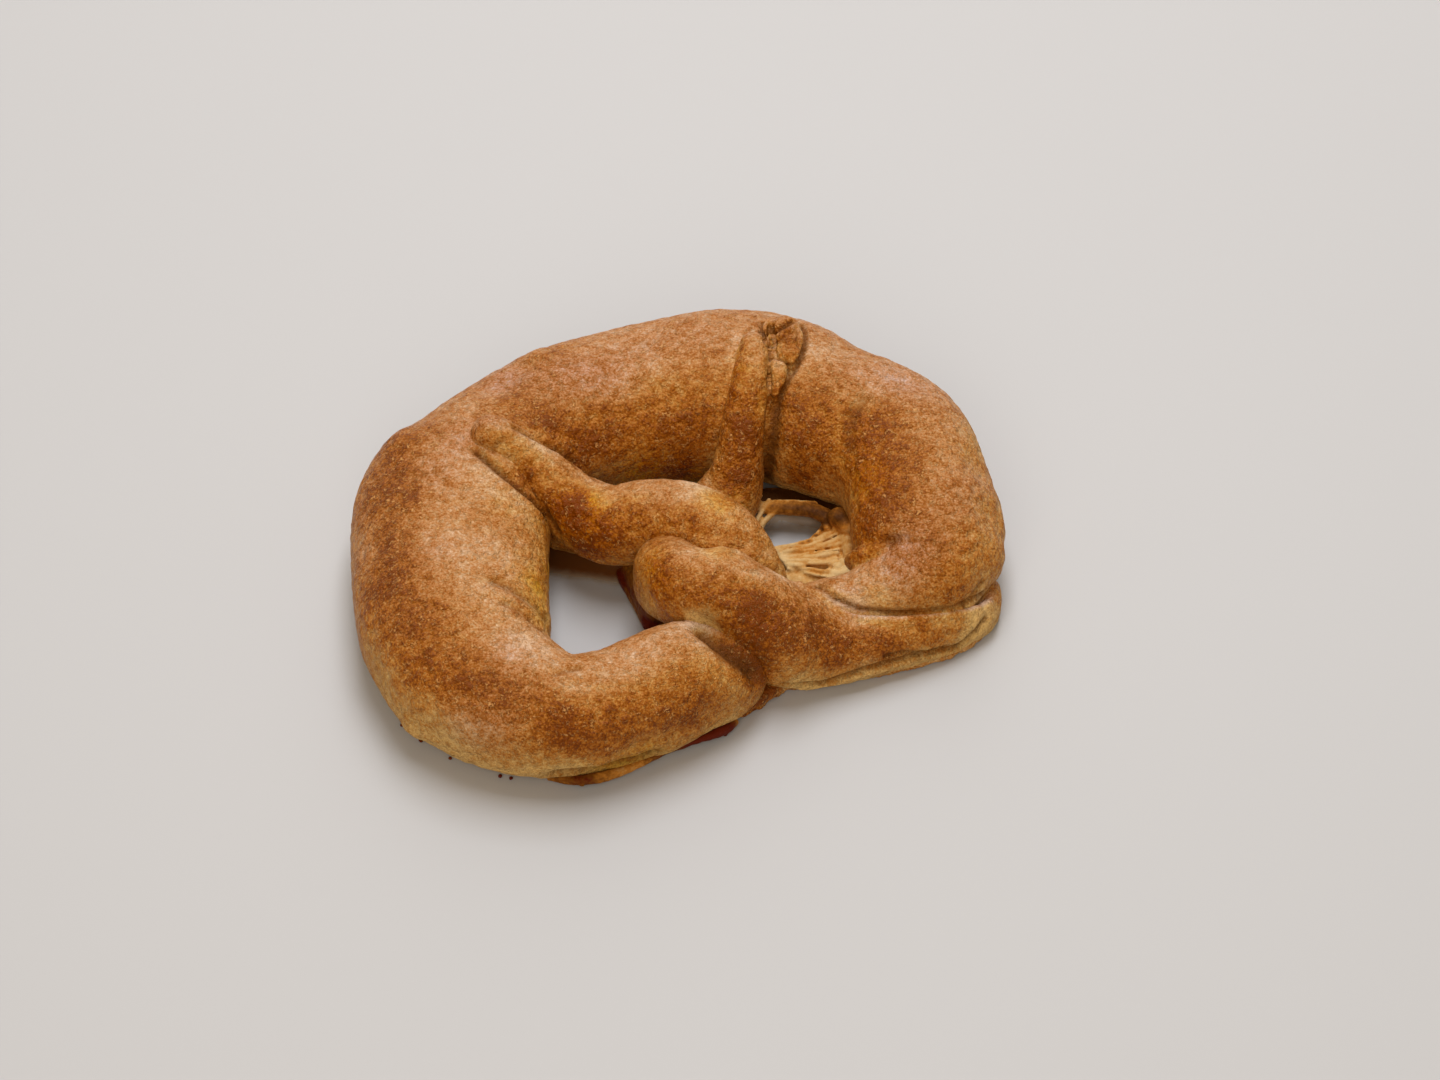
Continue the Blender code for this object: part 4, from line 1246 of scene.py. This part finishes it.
class PRETZEL_OT_shadow_film(bpy.types.Operator):
    """Spread the thin film of painted shadow, in part baked fat, under the bridge and in the right
    opening
    """
    bl_idname = "pretzel.film"
    bl_label = "Baked film"

    def execute(self, context):
        cheese = context.scene.pretzel_cheese
        stage = context.scene.pretzel_stage
        bm = bmesh.new()
        shadow_films = []
        for reach, strength, seen in SHADOW_AND_FAT_FILMS:
            path = in_part_frame(photo_rows([(*point, FILM_HEIGHT) for point in seen], stage))
            shadow_films.append((reach * MM, strength, path))
            self.add_sheet(bm, path.min(axis=0) - reach * MM, path.max(axis=0) + reach * MM,
                           cheese.film_grain)
        # A sheet on the floor, mostly painted shadow and in part baked fat
        piece = add_piece("baked_film", bm)
        points, _ = read_shape(piece.data)
        hidden = np.zeros(len(points))
        for reach, strength, path in shadow_films:
            gap = distance_to_path(points, path) / reach
            hidden = np.maximum(hidden, strength * np.clip(1 - gap ** 2, 0, 1))
        write_attributes(piece.data, hidden=hidden)
        dress(piece, shadow_film_finish(cheese))
        return {"FINISHED"}

    def add_sheet(self, bm, low, high, grain):
        """Add a flat grid between two corners."""
        width, depth, _ = (high - low) / 2
        sheet = bmesh.ops.create_grid(bm, x_segments=int(2 * width / grain),
                                      y_segments=int(2 * depth / grain), size=1)["verts"]
        bmesh.ops.scale(bm, vec=(width, depth, 1), verts=sheet)
        bmesh.ops.translate(bm, vec=Vector((low + high) / 2), verts=sheet)


class PRETZEL_OT_layers(bpy.types.Operator):
    """Lay the pale thin layers of dough under the right arm"""
    bl_idname = "pretzel.layers"
    bl_label = "Dough layers"

    def execute(self, context):
        crust = context.scene.pretzel_crust
        cheese = context.scene.pretzel_cheese
        stage = context.scene.pretzel_stage
        piece = lay_runs("arm_layers", stage, LAYER_RUNS, LAYER_LUMPS, cheese.grain,
                         cheese.lumpiness * crust.raggedness, shift=8.3)
        points, _ = read_shape(piece.data)
        toast = (LAYER_BROWN + LAYER_DRIFT * noise_at(points, LAYER_SPACING)
                 + spots_at(points, LAYER_BROWN_AND_SHADE_SPOTS, photo_finder([piece], stage)))
        # A constant side tint paints shade on the layers, which lie low under the arm
        write_attributes(piece.data, toast=toast, crease=0, hollow=LAYER_HOLLOW, sheen=0,
                         deep=LAYER_SIDE_SHADE)
        dress(piece, crust_finish(crust))
        return {"FINISHED"}


class PRETZEL_OT_stage(bpy.types.Operator):
    """Lay the floor and set up the camera and the soft light"""
    bl_idname = "pretzel.stage"
    bl_label = "Stage"

    def execute(self, context):
        stage = context.scene.pretzel_stage
        self.lay_floor(stage)
        self.set_camera(context.scene, stage)
        world = bpy.data.worlds.new("even_light")
        world.use_nodes = True
        world.node_tree.nodes["Background"].inputs["Color"].default_value = (*stage.sky, 1)
        context.scene.world = world
        for name, light in LIGHTS.items():
            self.hang_light(context.scene, name, getattr(stage, name), *light)
        context.scene.view_settings.view_transform = "Standard"
        return {"FINISHED"}

    def lay_floor(self, stage):
        bm = bmesh.new()
        bmesh.ops.create_grid(bm, x_segments=1, y_segments=1, size=FLOOR_REACH)
        bmesh.ops.translate(bm, vec=(0, 0, -FLOOR_DROP), verts=bm.verts)
        floor = add_piece("floor", bm)
        floor.data.materials.append(
            Finish("pale_floor").finish(Base_Color=stage.floor, Roughness=0.6))

    def set_camera(self, scene, stage):
        view = bpy.data.cameras.new("photo_view")
        view.lens = stage.lens
        view.sensor_width = SENSOR_WIDTH
        camera = bpy.data.objects.new("photo_view", view)
        camera.location = camera_place(stage)[0]
        camera.rotation_euler = (math.pi / 2 - stage.camera_angle, 0, 0)
        scene.collection.objects.link(camera)
        scene.camera = camera

    def hang_light(self, scene, name, power, place, width, depth, colour, in_gloss):
        """Hang one soft light that points at the pretzel."""
        light = bpy.data.lights.new(name, "AREA")
        light.shape = "RECTANGLE"
        light.size = width
        light.size_y = depth
        light.energy = power
        light.color = colour
        lamp = bpy.data.objects.new(name, light)
        lamp.location = place
        lamp.rotation_euler = (-Vector(place)).to_track_quat("-Z", "Y").to_euler()
        lamp.visible_glossy = in_gloss
        scene.collection.objects.link(lamp)


class PRETZEL_PT_panel(bpy.types.Panel):
    """Buttons and sizes of the pretzel"""
    bl_label = "Cheese pretzel"
    bl_idname = "PRETZEL_PT_panel"
    bl_space_type = "VIEW_3D"
    bl_region_type = "UI"
    bl_category = "Pretzel"

    def draw(self, context):
        for operator in OPERATORS:
            self.layout.operator(operator.bl_idname)
        for group, settings in SETTINGS.items():
            for key in settings.__annotations__:
                self.layout.prop(getattr(context.scene, group), key)


OPERATORS = (PRETZEL_OT_crust, PRETZEL_OT_skin, PRETZEL_OT_leaks,
             PRETZEL_OT_shadow_film, PRETZEL_OT_layers, PRETZEL_OT_stage)
SETTINGS = {"pretzel_crust": CrustSettings, "pretzel_cheese": CheeseSettings,
            "pretzel_stage": StageSettings}


def register():
    for group, settings in SETTINGS.items():
        bpy.utils.register_class(settings)
        setattr(bpy.types.Scene, group, bpy.props.PointerProperty(type=settings))
    for kind in (*OPERATORS, PRETZEL_PT_panel):
        bpy.utils.register_class(kind)


def unregister():
    for kind in (PRETZEL_PT_panel, *reversed(OPERATORS)):
        bpy.utils.unregister_class(kind)
    for group, settings in SETTINGS.items():
        delattr(bpy.types.Scene, group)
        bpy.utils.unregister_class(settings)


def main():
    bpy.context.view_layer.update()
    register()
    bpy.ops.pretzel.crust()
    bpy.ops.pretzel.skin()
    bpy.ops.pretzel.leaks()
    bpy.ops.pretzel.film()
    bpy.ops.pretzel.layers()
    bpy.ops.pretzel.stage()


if __name__ == "__main__":
    main()
